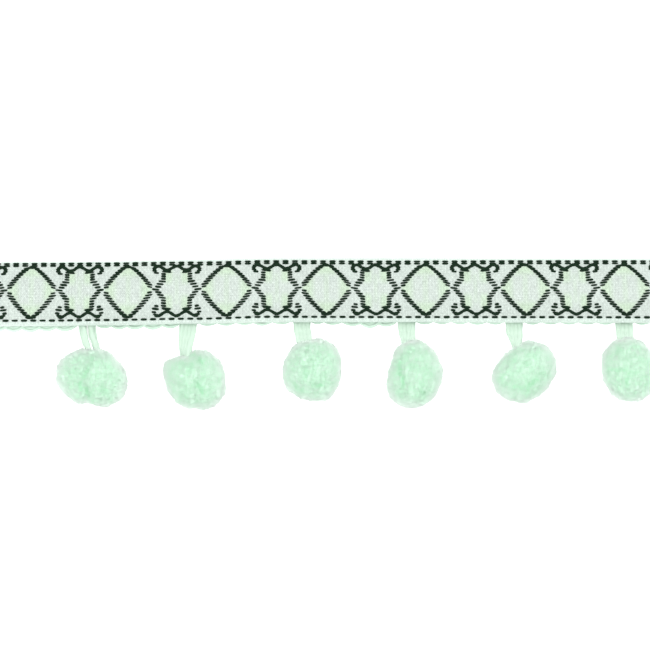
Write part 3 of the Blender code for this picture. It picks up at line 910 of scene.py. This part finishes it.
BRAID_STRANDS = 3
YARNS_PER_STRAND = 3
BRAID_STATIONS = 560
BRAID_SIDES = 8
BRAID_MIDDLE = 0.82
BRAID_SWING = 0.14
YARNS_APART = 0.94  # as a share of a yarn's width
YARN_CREEP = 0.001  # how far a yarn still runs where the cut end stops it
SCALLOP_SHARPNESS = 1.3
SCALLOP_FULLNESS = 0.25
NARROWED_HALF = 3.0
HEADING_TURNS, HEADING_BUMP = 150, 0.03


def scallop_phase(x):
    """Counts scallops along the heading, a whole number at each one's middle."""
    middles, _ = np.transpose(SCALLOPS)
    return np.interp(x, middles, np.arange(len(SCALLOPS)))


def heading_low(x, width):
    """The heading's lower edge across the ribbon, drawn in by a blunt bell curve at each loop."""
    peep = np.interp(x, *np.transpose(SCALLOPS))
    drawn = sum(np.exp(-(((x - p.root_x) / NARROWED_HALF) ** 4)) for p in POMPOMS)
    return -width / 2 - peep + (NOTCH_DEPTH + peep) * drawn


def braid_heading(properties, ribbon):
    """A flat braid. Each strand swings across once in three scallops: its share of the way up
    is one less a power of half of one and the cosine, which makes it turn sharply at the lower
    edge. It passes over and under the others at twice that rate; its yarns lie side by side."""
    x = np.linspace(-LENGTH / 2, LENGTH / 2, BRAID_STATIONS)
    half_yarn = properties.yarn_width / MM / 2
    spread = np.arange(YARNS_PER_STRAND) - (YARNS_PER_STRAND - 1) / 2
    spread = spread * 2 * half_yarn * YARNS_APART
    strand = np.arange(BRAID_STRANDS)[:, None]
    phase = 2 * math.pi * (scallop_phase(x)[None] + strand) / BRAID_STRANDS
    margin = spread[-1] + half_yarn
    low = heading_low(x, ribbon.width / MM) + margin - SCALLOP_FULLNESS
    high = HEADING_TOP - margin
    across = high + (low - high) * (0.5 + 0.5 * np.cos(phase)) ** SCALLOP_SHARPNESS
    slope = np.gradient(across, x, axis=1)
    run = np.sqrt(1 + slope**2)
    height = BRAID_MIDDLE + BRAID_SWING * np.sin(2 * phase)
    paths = []
    for offset in spread:
        yarn_x = x[None] - offset * slope / run
        yarn_across = across + offset / run
        yarn_x = np.clip(yarn_x, -LENGTH / 2, LENGTH / 2)
        yarn_x = yarn_x + np.linspace(0, YARN_CREEP, BRAID_STATIONS)
        paths.append(np.stack((yarn_x, ribbon_middle(yarn_x) + yarn_across, height), axis=-1))
    paths = np.concatenate(paths)
    half_height = properties.yarn_height / MM / 2
    material = twisted_dye("heading_yarn", properties, HEADING_TURNS, HEADING_BUMP)
    yarns = tubes(paths, half_yarn, half_height, BRAID_SIDES)
    return make_yarns("braided_heading", material, yarns)


# What winds round a yarn: how many there are for each turn of its twist and all round it, and
# its shares of the yarn's tone and of its bumps. The tone is painted shade, darker in each
# winding's grooves.
Winding = namedtuple("Winding", "along around tone bump")
WINDINGS = (
    Winding(1, 2, 0.14, 1.0),  # plies
    Winding(3, 9, 0.10, 0.3),  # fibres
    Winding(1, 22, 0.16, 0.35),  # filaments
)
YARN_TONE = 0.6
YARN_MOTTLE, YARN_MOTTLE_SCALE = 0.5, 1200.0


def twisted_dye(name, properties, turns, depth):
    """Yarn that is wound of plies, fibres and filaments: each a cosine of the place along and
    round the yarn, which has so many turns in all."""
    dye = Dye(name, 0.9, sheen=0.25)
    along, around = dye.along_and_across("yarn")
    mottle = dye.noise(YARN_MOTTLE_SCALE)
    pale = mottle * YARN_MOTTLE + YARN_TONE
    height = mottle
    for winding in WINDINGS:
        wave = (along * (winding.along * turns) + around * winding.around).wave(1)
        # Painted shade: each winding is darker in its grooves, where its bump is low.
        pale = pale + wave * winding.tone
        height = height + wave * winding.bump
    dye.colour(dye.mix(dye.clamp(pale), properties.shade, properties.colour))
    dye.bump(height, depth)
    return dye.material


# ---- Loops ----

LOOP_STATIONS = 44
LOOP_SIDES = 14
LOOP_TURNS, LOOP_BUMP = 5, 0.035
PLIES = 3
PLY_DEPTH = 0.05
STRAND_START = 1.9  # radians that each strand's plies are ahead of the next one's
SWELL, SWELL_LENGTH, SWELL_START = 0.05, 1.7, 3
LEGS_PARTED = 0.3  # how far along the half sine of their spread the legs are at the heading
PLIED_AT_HEADING = 0.7  # share of the ply that a leg already has at the heading
STRAND_FLATTENED = 1.4  # width of a strand as a share of its height
LASHING_STATIONS = 45
LASHING_TURNS = 6
LASHING_SIDES = 16
LASHING_WIDTH = 4.5
LASHING_HALF = (0.45, 0.4)
LASHING_RIDGE = 0.14
LASHING_END = 0.96  # how far it is drawn in where it ends
LASHING_BLUNTNESS = 6


def loop_ends(pompom):
    """Where a loop starts under the ribbon and where its knot lies inside the pile."""
    width = bpy.context.scene.trim_ribbon.width / MM
    edge = float(ribbon_middle(np.array(pompom.root_x))) - width / 2
    start = np.array((pompom.root_x, edge + BAR_SINK, STRAND_REST))
    rim_y = RIBBON_MIDDLE_Y + pompom.y + radius_towards_ribbon(pompom)
    entry_y = rim_y - pompom.parting - ENTRY_SINK
    entry = np.array((pompom.entry_x, entry_y, ENTRY_HEIGHT))
    aside = KNOT_LEAN * (pompom.x - pompom.entry_x)
    inward = np.array((aside, RIBBON_MIDDLE_Y + pompom.y - entry_y, 0.0))
    return start, entry + unit(inward) * TIE_DEPTH


def turned(angle):
    """The way along X, turned up by the angle."""
    return np.stack((np.cos(angle), 0 * angle, np.sin(angle)), axis=-1)


def strand_paths(pompom, stations):
    """The loop's middle line is a cubic curve that leaves the heading level and goes level into
    the pile, bowed along X by a half sine. Two strands lie side by side in each leg, turned
    about the leg's middle by the ply, the inner ones up. The legs lie beside the middle line,
    turned by the twist and parted by part of a half sine. No strand lies lower than it does at
    the heading."""
    start, knot = loop_ends(pompom)
    reach = np.linalg.norm(start - knot)
    out = start + (0, -STRAIGHT_OUT * reach, 0)
    into = knot + (0, STRAIGHT_IN * reach, 0)
    t = np.linspace(0, 1, stations)[:, None]
    s = 1 - t
    middle = s**3 * start + 3 * s * s * t * out + 3 * s * t * t * into + t**3 * knot
    middle[:, 0] += pompom.bow * np.sin(math.pi * t[:, 0])
    side = (np.arange(STRANDS) - (STRANDS - 1) / 2)[:, None]
    leg = np.sign(side)
    t = t[:, 0][None]
    ease = fade(t, 0, TWISTED_BY)
    twist = math.radians(pompom.twist) * ease
    plied = PLIED_AT_HEADING * (1 - ease) + ease
    ply = twist - leg * math.radians(pompom.ply) * plied
    pitch = STRAND_PITCH * (1 - DRAWN_TOGETHER * t)
    parting = np.sin(math.pi * (LEGS_PARTED + (1 - LEGS_PARTED) * t))
    parted = leg * (pitch + pompom.spread / 2 * parting)
    in_leg = (side - leg) * pitch
    offset = parted[..., None] * turned(twist) + in_leg[..., None] * turned(ply)
    paths = middle[None] + offset
    paths[..., 2] = np.maximum(paths[..., 2], STRAND_REST)
    return paths


def twist_loop(number, pompom, properties, material):
    """Four soft strands and their lashing. Each strand's rings are ellipses, wider than high,
    with a cosine's lobe for each ply that winds along it, and swell and shrink by a sine."""
    paths = strand_paths(pompom, LOOP_STATIONS)
    length = np.linalg.norm(np.diff(paths[0], axis=0), axis=1).sum()
    along = np.linspace(0, length, LOOP_STATIONS)[None, :, None]
    around = round_angles(LOOP_SIDES)[None, None]
    start = np.arange(STRANDS)[:, None, None] * STRAND_START + number
    wind = 2 * math.pi * along / (properties.twist / MM)
    lobes = 1 + PLY_DEPTH * np.cos(PLIES * around - wind + start)
    swell = 1 + SWELL * np.sin(along * SWELL_LENGTH + start * SWELL_START)
    radius = properties.strand / MM / 2 * lobes * swell
    strands = tubes(paths, STRAND_FLATTENED * radius, radius, LOOP_SIDES)
    return make_yarns(f"loop_yarn_{number}", material, strands, lash_strands(pompom))


def lash_strands(pompom):
    """The lashing that catches the strands in the heading, along X: rings that are ellipses,
    with a ridge at each turn, a cosine without its sign, and drawn in at both ends as the
    square root of one less the sixth power of the distance from its middle."""
    start, _ = loop_ends(pompom)
    s = np.linspace(-1, 1, LASHING_STATIONS)
    path = start + np.outer(s * LASHING_WIDTH / 2, (1, 0, 0))
    turn = math.pi * LASHING_TURNS * (s + 1) / 2
    ridge = 1 - LASHING_RIDGE + LASHING_RIDGE * np.abs(np.cos(turn))
    closed = np.sqrt(1 - np.abs(s * LASHING_END) ** LASHING_BLUNTNESS)
    wide, high = LASHING_HALF
    ring = (ridge * closed)[None, :, None]
    return tubes(path[None], wide * ring, high * ring, LASHING_SIDES)


# ---- Pompoms ----

CORE_ROWS = 80
CORE_COLUMNS = 160
PRESSED_FLAT = 0.04  # height of the flat spot that a pompom rests on
LOCKS = 620
LOCK_HEIGHT = 0.26
LOCK_SINK = 0.3  # share of its height that a lock stands above the tuft
LOCK_UNEVEN = 0.08
LOCK_JITTER = 0.035
LOCK_SEED = 100
CREASE_DEPTH = 0.30
CREASE_WAVER, WAVER_LENGTH = 0.18, 3.1
ROOT_SHARE = 0.91  # of the pile's reach
ROOT_JITTER = 0.008
GATHERED = 0.30  # how far a fibre leans towards its lock's middle
SCATTERED = 0.05
OVERSHOOT = 0.10
UNEVEN_TIPS = 0.30
TIP_LIFT = (0, 0, 0.02)
STRAY_SHARE = 0.03
STRAY_REACH = 0.45
LOOP_CLEARANCE = 0.9
LOOP_CHECKS = 12  # stations of a loop that are checked for clearance
BRISTLE = 0.4  # how far a spike's shading turns from the pile's to its own
SPIKE_THICKNESS = (0.8, 0.4)  # the least, and how much more at random
NO_FIBRES_WAY = (0.31, 0.57, 0.76)
# The reach values that set the pile's painted shade, which is darker where they are low.
CORE_REACH = (0.15, 0.65)  # between locks and at their middles
ROOT_REACH = 0.3
# The heights on a unit ball between which the pile is painted paler from the top down, as painted
# light on its sides, and between which it turns back underneath.
PALER = (0.66, 0.04)
PALER_BACK = (-0.10, -0.75)
# Shares of the pile's tone, of which REACH_TONE is its painted shade towards the roots, and the
# scales of its clouds and of its specks.
REACH_TONE, LOT_TONE, PILE_TONE, CLOUD_TONE, DUST_TONE = 0.5, 0.3, 0.2, 1.2, 0.9
CLOUD_SCALE, DUST_SCALE = 420.0, 1900.0
CREASE_SHADE = 0.55


def outline_radius(radii, azimuth):
    """A closed smooth curve through the radii, which are evenly spaced round the pompom: a
    cubic from each to the next, whose slope at each is half the step between its neighbours."""
    radii = np.asarray(radii)
    count = len(radii)
    place = np.mod(azimuth, 2 * math.pi) / (2 * math.pi) * count
    first = np.floor(place).astype(int)
    t = place - first
    a, b, c, d = (radii[(first + k) % count] for k in (-1, 0, 1, 2))
    bend = 2 * a - 5 * b + 4 * c - d + t * (3 * (b - c) + d - a)
    return b + 0.5 * t * (c - a + t * bend)


def radius_towards_ribbon(pompom):
    """The outline's radius along +Y."""
    return pompom.radii[len(pompom.radii) // 4]


def on_ball(azimuth, height):
    """Places on a unit ball."""
    level = np.sqrt(1 - height**2)
    return np.stack((level * np.cos(azimuth), level * np.sin(azimuth), height), axis=-1)


def spread_directions(count, turn):
    """Unit vectors spread evenly over a ball: each lies a step lower than the one before it, and
    turned on by the golden angle. The first is at turn."""
    k = np.arange(count)
    return on_ball(turn + k * math.pi * (3 - math.sqrt(5)), 1 - (2 * k + 1) / count)


def share_off(nearness, count):
    """The angle of that cosine, as a share of the half width that each of count even patches
    has on a sphere."""
    return np.arccos(np.clip(nearness, -1, 1)) / math.sqrt(4 / count)


def parted_pile(points, pompom):
    """How far the pile opens where the loop goes in: a notch along the loop's way, which is a
    bell curve across it and fades in towards the rim."""
    way = np.array((pompom.entry_x - pompom.x, radius_towards_ribbon(pompom)))
    reach = np.linalg.norm(way)
    way /= reach
    outward = points[:, :2] @ way
    aside = points[:, :2] @ np.array((-way[1], way[0]))
    near_rim = fade(outward / reach, PARTING_FROM, PARTING_FULL)
    return pompom.parting * near_rim * np.exp(-((aside / PARTING_HALF_WIDTH) ** 2))


def cleft_depth(points, upward, pompom):
    """A groove straight across the pompom, as deep as a bell curve of the distance from it, and
    deepest on top of the pompom."""
    turn = math.radians(pompom.cleft_deg)
    off = points[:, 0] * math.cos(turn) + points[:, 1] * math.sin(turn) - pompom.cleft_at
    open_up = CLEFT_AT_RIM + (1 - CLEFT_AT_RIM) * fade(upward, 0, 1)
    return pompom.cleft_depth * open_up * np.exp(-((off / CLEFT_HALF_WIDTH) ** 2))


def creased(points, number):
    """How deep in a crease each point is, from 0 to 1: a bell curve of the distance from the
    crease's line, which wavers a little. Only the upper pile has creases."""
    deep = np.zeros(len(points))
    for crease in CREASES:
        if crease.pompom != number:
            continue
        turn = math.radians(crease.turn)
        off_x = points[:, 0] - crease.x
        off_y = points[:, 1] - crease.y
        along = off_x * math.cos(turn) + off_y * math.sin(turn)
        aside = off_y * math.cos(turn) - off_x * math.sin(turn)
        aside = aside + CREASE_WAVER * np.sin(WAVER_LENGTH * along + crease.x)
        beyond = np.maximum(np.abs(along) - crease.length / 2, 0)
        here = crease.depth * np.exp(-(aside**2 + beyond**2) / crease.width**2)
        deep = np.maximum(deep, here)
    return deep * (points[:, 2] > 0)


def pile_reach(directions, pompom, number):
    """How far the pile reaches from the pompom's middle in each direction: an ellipsoid on the
    outline's radii, raised at each tuft and lock, less the cleft, the parting and the creases."""
    level = np.hypot(directions[:, 0], directions[:, 1])
    azimuth = np.arctan2(directions[:, 1], directions[:, 0])
    outline = outline_radius(pompom.radii, azimuth)
    body = 1 / np.sqrt((level / outline) ** 2 + (directions[:, 2] / HALF_HEIGHT) ** 2)
    tufts = spread_directions(TUFTS, number * TUFT_TURN)
    nearness = (directions @ tufts.T).max(axis=1)
    off_tuft = share_off(nearness, TUFTS)
    height, _, _ = lock_relief(directions, number)
    reach = body + TUFT_HEIGHT * (TUFT_SINK - off_tuft**2) + height
    points = directions * reach[:, None]
    groove = cleft_depth(points, directions[:, 2], pompom) + parted_pile(points, pompom)
    groove += CREASE_DEPTH * creased(points, number)
    return reach * (1 - groove / body)


def lock_relief(directions, number):
    """The pile's locks of fibres: each stands up as one less the square of the distance from
    its middle, by its own height. Gives the relief, which lock each direction is in, and the
    share of the lock's half width that it is off its middle."""
    chance = np.random.default_rng(LOCK_SEED + number)
    locks = unit(spread_directions(LOCKS, number) + chance.normal(0, LOCK_JITTER, (LOCKS, 3)))
    heights = chance.normal(0, LOCK_UNEVEN, LOCKS)
    nearness = directions @ locks.T
    nearest = nearness.argmax(axis=1)
    off = share_off(nearness.max(axis=1), LOCKS)
    relief = LOCK_HEIGHT * (LOCK_SINK - off**2) + heights[nearest] * (1 - off**2)
    return relief, locks[nearest], off


def pompom_middle(pompom):
    """A pompom's middle in the trim's frame."""
    return np.array((pompom.x, RIBBON_MIDDLE_Y + pompom.y, REST_SHARE * HALF_HEIGHT))


def pressed(points):
    """Points under the surface that the pompom rests on are laid on it."""
    points = points.copy()
    points[:, 2] = np.maximum(points[:, 2], PRESSED_FLAT)
    return points


def pile_core(pompom, number, share):
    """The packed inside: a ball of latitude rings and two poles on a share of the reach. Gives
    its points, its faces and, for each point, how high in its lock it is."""
    polar = math.pi * (np.arange(CORE_ROWS) + 1) / (CORE_ROWS + 1)
    polar, azimuth = np.meshgrid(polar, round_angles(CORE_COLUMNS), indexing="ij")
    rings = on_ball(azimuth, np.cos(polar)).reshape(-1, 3)
    directions = np.vstack((rings, ((0, 0, 1), (0, 0, -1))))
    reach = share * pile_reach(directions, pompom, number)
    points = pressed(pompom_middle(pompom) + directions * reach[:, None])
    faces = [group[:, ::-1] for group in capped_faces(CORE_ROWS, CORE_COLUMNS)]
    _, _, off = lock_relief(directions, number)
    return points, faces, np.clip(1 - off, 0, 1)


def clear_of_loop(points, pompom):
    """True for points that stand clear of the pompom's loop, apart from its first quarter,
    which is nowhere near the pile."""
    line = strand_paths(pompom, LOOP_CHECKS)[:, LOOP_CHECKS // 4 :].reshape(-1, 3)
    gap = np.linalg.norm(points[:, None] - line[None], axis=-1).min(axis=1)
    return gap > LOOP_CLEARANCE


def pile_fibres(pompom, number, properties):
    """Cut fibres: each starts just inside the core and ends at the pile's reach, leaning
    towards its lock's middle and a little at random; a few stray further. Gives their roots,
    their tips and the way that the pile faces there."""
    chance = np.random.default_rng(number)
    count = properties.fibres
    directions = spread_directions(count, number)
    directions = unit(directions + chance.normal(0, ROOT_JITTER, (count, 3)))
    _, locks, _ = lock_relief(directions, number)
    lean = GATHERED * (locks - directions) + chance.normal(0, SCATTERED, (count, 3))
    ahead = unit(directions + lean)
    over = OVERSHOOT + UNEVEN_TIPS * (chance.random(count) - 0.5)
    over += (chance.random(count) < STRAY_SHARE) * chance.random(count) * STRAY_REACH
    middle = pompom_middle(pompom)
    roots = middle + directions * (ROOT_SHARE * pile_reach(directions, pompom, number))[:, None]
    tips = middle + ahead * (pile_reach(ahead, pompom, number) + over)[:, None]
    kept = clear_of_loop(tips, pompom) & clear_of_loop((tips + roots) / 2, pompom)
    return pressed(roots[kept]), pressed(tips[kept] + TIP_LIFT), directions[kept]


def cut_pompom(number, pompom, properties, material):
    """The core and its fibres as one mesh. Each fibre is a three-sided spike, shaded mostly as
    the pile round it. 'reach' is low in the pile's depth and 1 at a fibre's tip, and sets the
    pile's painted shade towards its roots; 'lot' is a random number for each fibre; 'side' is 1
    where the pile faces aside, where it is painted paler as painted light; and 'crease' is how
    deep in a crease it is, where it is painted darker as painted shade."""
    core, shell, height = pile_core(pompom, number, properties.core)
    roots, tips, facing = pile_fibres(pompom, number, properties)
    count = len(roots)
    ahead = unit(tips - roots)
    aside = unit(np.cross(ahead, NO_FIBRES_WAY))
    over = np.cross(ahead, aside)
    turn = round_angles(3)[:, None]
    chance = np.random.default_rng(number + len(POMPOMS))
    least, more = SPIKE_THICKNESS
    thick = properties.fibre / MM / 2 * (least + more * chance.random(count))
    around = aside[:, None] * np.cos(turn) + over[:, None] * np.sin(turn)
    ring = roots[:, None] + around * thick[:, None, None]
    spikes = np.concatenate((ring, tips[:, None]), axis=1).reshape(-1, 3)
    sides = np.array(((0, 1, 3), (1, 2, 3), (2, 0, 3), (2, 1, 0)))
    faces = [*shell, repeated_faces(sides, 4, count) + len(core)]
    points = np.vstack((core, spikes))
    off_middle = points - pompom_middle(pompom)
    ball = unit(off_middle)
    around = np.concatenate((around, ahead[:, None]), axis=1)
    bristles = unit(facing[:, None] + BRISTLE * around).reshape(-1, 3)
    low, high = CORE_REACH
    in_spike = (ROOT_REACH, ROOT_REACH, ROOT_REACH, 1.0)
    values = {
        "reach": np.concatenate((low + (high - low) * height, np.tile(in_spike, count))),
        "lot": np.concatenate((np.full(len(core), 0.5), np.repeat(chance.random(count), 4))),
        "side": fade(ball[:, 2], *PALER) * (1 - fade(ball[:, 2], *PALER_BACK)),
        "crease": creased(off_middle, number),
    }
    normals = np.vstack((ball[: len(core)], bristles))
    return make_mesh(f"pile_{number}", points, faces, material, None, values, normals)


def pile_dye(properties):
    """Pale at the tips and deeper towards the roots as painted shade, with clouds of a few
    millimetres, specks of a fibre's width and a spread of lots."""
    dye = Dye("pompom_pile", 0.95)
    # Painted shade: low reach, deep in the pile, mixes towards the shade colour.
    pale = dye.attribute("reach") * REACH_TONE + dye.attribute("lot") * LOT_TONE + PILE_TONE
    pale = pale + dye.noise(CLOUD_SCALE, 3.0) * CLOUD_TONE + dye.noise(DUST_SCALE) * DUST_TONE
    pile = dye.mix(dye.clamp(pale), properties.shade, properties.colour)
    # Painted light: paler where the pile faces aside.
    pile = dye.mix(dye.attribute("side"), pile, properties.rim)
    # Painted shade: darker deep in a crease.
    dye.colour(dye.mix(dye.attribute("crease") * CREASE_SHADE, pile, properties.crease))
    return dye.material


# ---- Stage ----

PICTURE_WIDTH = 180.6  # millimetres that the picture spans where the trim lies
PICTURE_MIDDLE = (-0.56, 2.56)
SENSOR = 36.0
FLOOR_HALF = 4000.0
FLOOR_DROP = 0.05
FLOOR_SPECK, FLOOR_SPECK_SCALE = 0.01, 60.0
LAMP_SIZE = 0.9  # metres, as is its place
LAMP_PLACE = (0.12, 0.45, 0.95)
LAMP_LEAN = (-25, 7, 0)
CLIP_START = 0.01


def spread_floor(properties):
    """A square just under the trim, in one face."""
    x, y = FLOOR_HALF * np.array(((-1, 1, 1, -1), (-1, -1, 1, 1)))
    corners = np.stack((x, y, np.full(4, -FLOOR_DROP)), axis=-1)
    dye = Dye("pale_floor", 0.9)
    tone = dye.noise(FLOOR_SPECK_SCALE) * FLOOR_SPECK + 1.0
    dye.colour(dye.mix(1.0, properties.floor, tone, "MULTIPLY"))
    dye.surface.inputs["Emission Color"].default_value = (1, 1, 1, 1)
    dye.surface.inputs["Emission Strength"].default_value = properties.glow
    make_mesh("pale_floor", corners, [np.arange(4)[None]], dye.material)


def hang_lights(properties):
    """White light all round, and one large soft lamp above."""
    world = bpy.data.worlds.new("soft_room")
    world.use_nodes = True
    background = world.node_tree.nodes["Background"]
    background.inputs["Color"].default_value = (1, 1, 1, 1)
    background.inputs["Strength"].default_value = properties.sky
    bpy.context.scene.world = world
    light = bpy.data.lights.new("soft_key", "AREA")
    light.shape = "DISK"
    light.size = LAMP_SIZE
    light.energy = properties.key
    lamp = new_object("soft_key", light)
    lamp.location = LAMP_PLACE
    lamp.rotation_euler = [math.radians(turn) for turn in LAMP_LEAN]


def set_camera(properties):
    """Straight above, far enough for the picture to span its width."""
    data = bpy.data.cameras.new("camera")
    data.lens = properties.lens
    data.sensor_width = SENSOR
    distance = properties.lens / SENSOR * PICTURE_WIDTH * MM
    data.clip_start = CLIP_START
    data.clip_end = 10 * distance
    camera = new_object("camera", data)
    camera.location = (PICTURE_MIDDLE[0] * MM, PICTURE_MIDDLE[1] * MM, distance)
    bpy.context.scene.camera = camera
    bpy.context.scene.view_settings.view_transform = "Standard"


# ---- Operators and panel ----


class TRIM_OT_set_stage(bpy.types.Operator):
    """Lays the floor, hangs the lights and sets the camera"""

    bl_idname = "trim.set_stage"
    bl_label = "Set the stage"

    def execute(self, context):
        properties = context.scene.trim_stage
        spread_floor(properties)
        hang_lights(properties)
        set_camera(properties)
        return {"FINISHED"}


class TRIM_OT_weave_ribbon(bpy.types.Operator):
    """Weaves the ribbon's cloth and lays the figure's dark floats on it"""

    bl_idname = "trim.weave_ribbon"
    bl_label = "Weave the ribbon"

    def execute(self, context):
        properties = context.scene.trim_ribbon
        dress(weave_cloth(properties), "woven_ribbon", "ribbon")
        dress(lay_floats(properties), "woven_ribbon")
        return {"FINISHED"}


class TRIM_OT_braid_heading(bpy.types.Operator):
    """Braids the scalloped heading behind the ribbon's lower edge"""

    bl_idname = "trim.braid_heading"
    bl_label = "Braid the heading"

    def execute(self, context):
        heading = braid_heading(context.scene.trim_heading, context.scene.trim_ribbon)
        dress(heading, "heading_yarn", "heading")
        return {"FINISHED"}


class TRIM_OT_twist_loops(bpy.types.Operator):
    """Twists the strands of each pompom's loop"""

    bl_idname = "trim.twist_loops"
    bl_label = "Twist the loops"

    def execute(self, context):
        properties = context.scene.trim_loops
        material = twisted_dye("loop_yarn", properties, LOOP_TURNS, LOOP_BUMP)
        for number, pompom in enumerate(POMPOMS, start=1):
            loop = twist_loop(number, pompom, properties, material)
            dress(loop, "loop_yarn", f"loop_{number}")
        return {"FINISHED"}


class TRIM_OT_cut_pompoms(bpy.types.Operator):
    """Cuts the pile of each pompom"""

    bl_idname = "trim.cut_pompoms"
    bl_label = "Cut the pompoms"

    def execute(self, context):
        properties = context.scene.trim_pile
        material = pile_dye(properties)
        for number, pompom in enumerate(POMPOMS, start=1):
            pile = cut_pompom(number, pompom, properties, material)
            dress(pile, "pompom_pile", f"pompom_{number}")
        return {"FINISHED"}


class TRIM_PT_panel(bpy.types.Panel):
    """The trim's pieces and their settings"""

    bl_idname = "TRIM_PT_panel"
    bl_label = "Pompom fringe trim"
    bl_space_type = "VIEW_3D"
    bl_region_type = "UI"
    bl_category = "Trim"

    def draw(self, context):
        for group, (_, operator) in STEPS.items():
            box = self.layout.box()
            properties = getattr(context.scene, group)
            for name in properties.__annotations__:
                box.prop(properties, name)
            box.operator(operator.bl_idname)


# Each step's properties, by their name in the scene, and its operator.
STEPS = {
    "trim_stage": (StageProperties, TRIM_OT_set_stage),
    "trim_ribbon": (RibbonProperties, TRIM_OT_weave_ribbon),
    "trim_heading": (HeadingProperties, TRIM_OT_braid_heading),
    "trim_loops": (LoopProperties, TRIM_OT_twist_loops),
    "trim_pile": (PileProperties, TRIM_OT_cut_pompoms),
}
CLASSES = (*(cls for step in STEPS.values() for cls in step), TRIM_PT_panel)


def register():
    for cls in CLASSES:
        bpy.utils.register_class(cls)
    for name, (group, _) in STEPS.items():
        setattr(bpy.types.Scene, name, PointerProperty(type=group))


def unregister():
    for name in STEPS:
        delattr(bpy.types.Scene, name)
    for cls in reversed(CLASSES):
        bpy.utils.unregister_class(cls)


def main():
    register()
    bpy.ops.trim.set_stage()
    bpy.ops.trim.weave_ribbon()
    bpy.ops.trim.braid_heading()
    bpy.ops.trim.twist_loops()
    bpy.ops.trim.cut_pompoms()


if __name__ == "__main__":
    main()
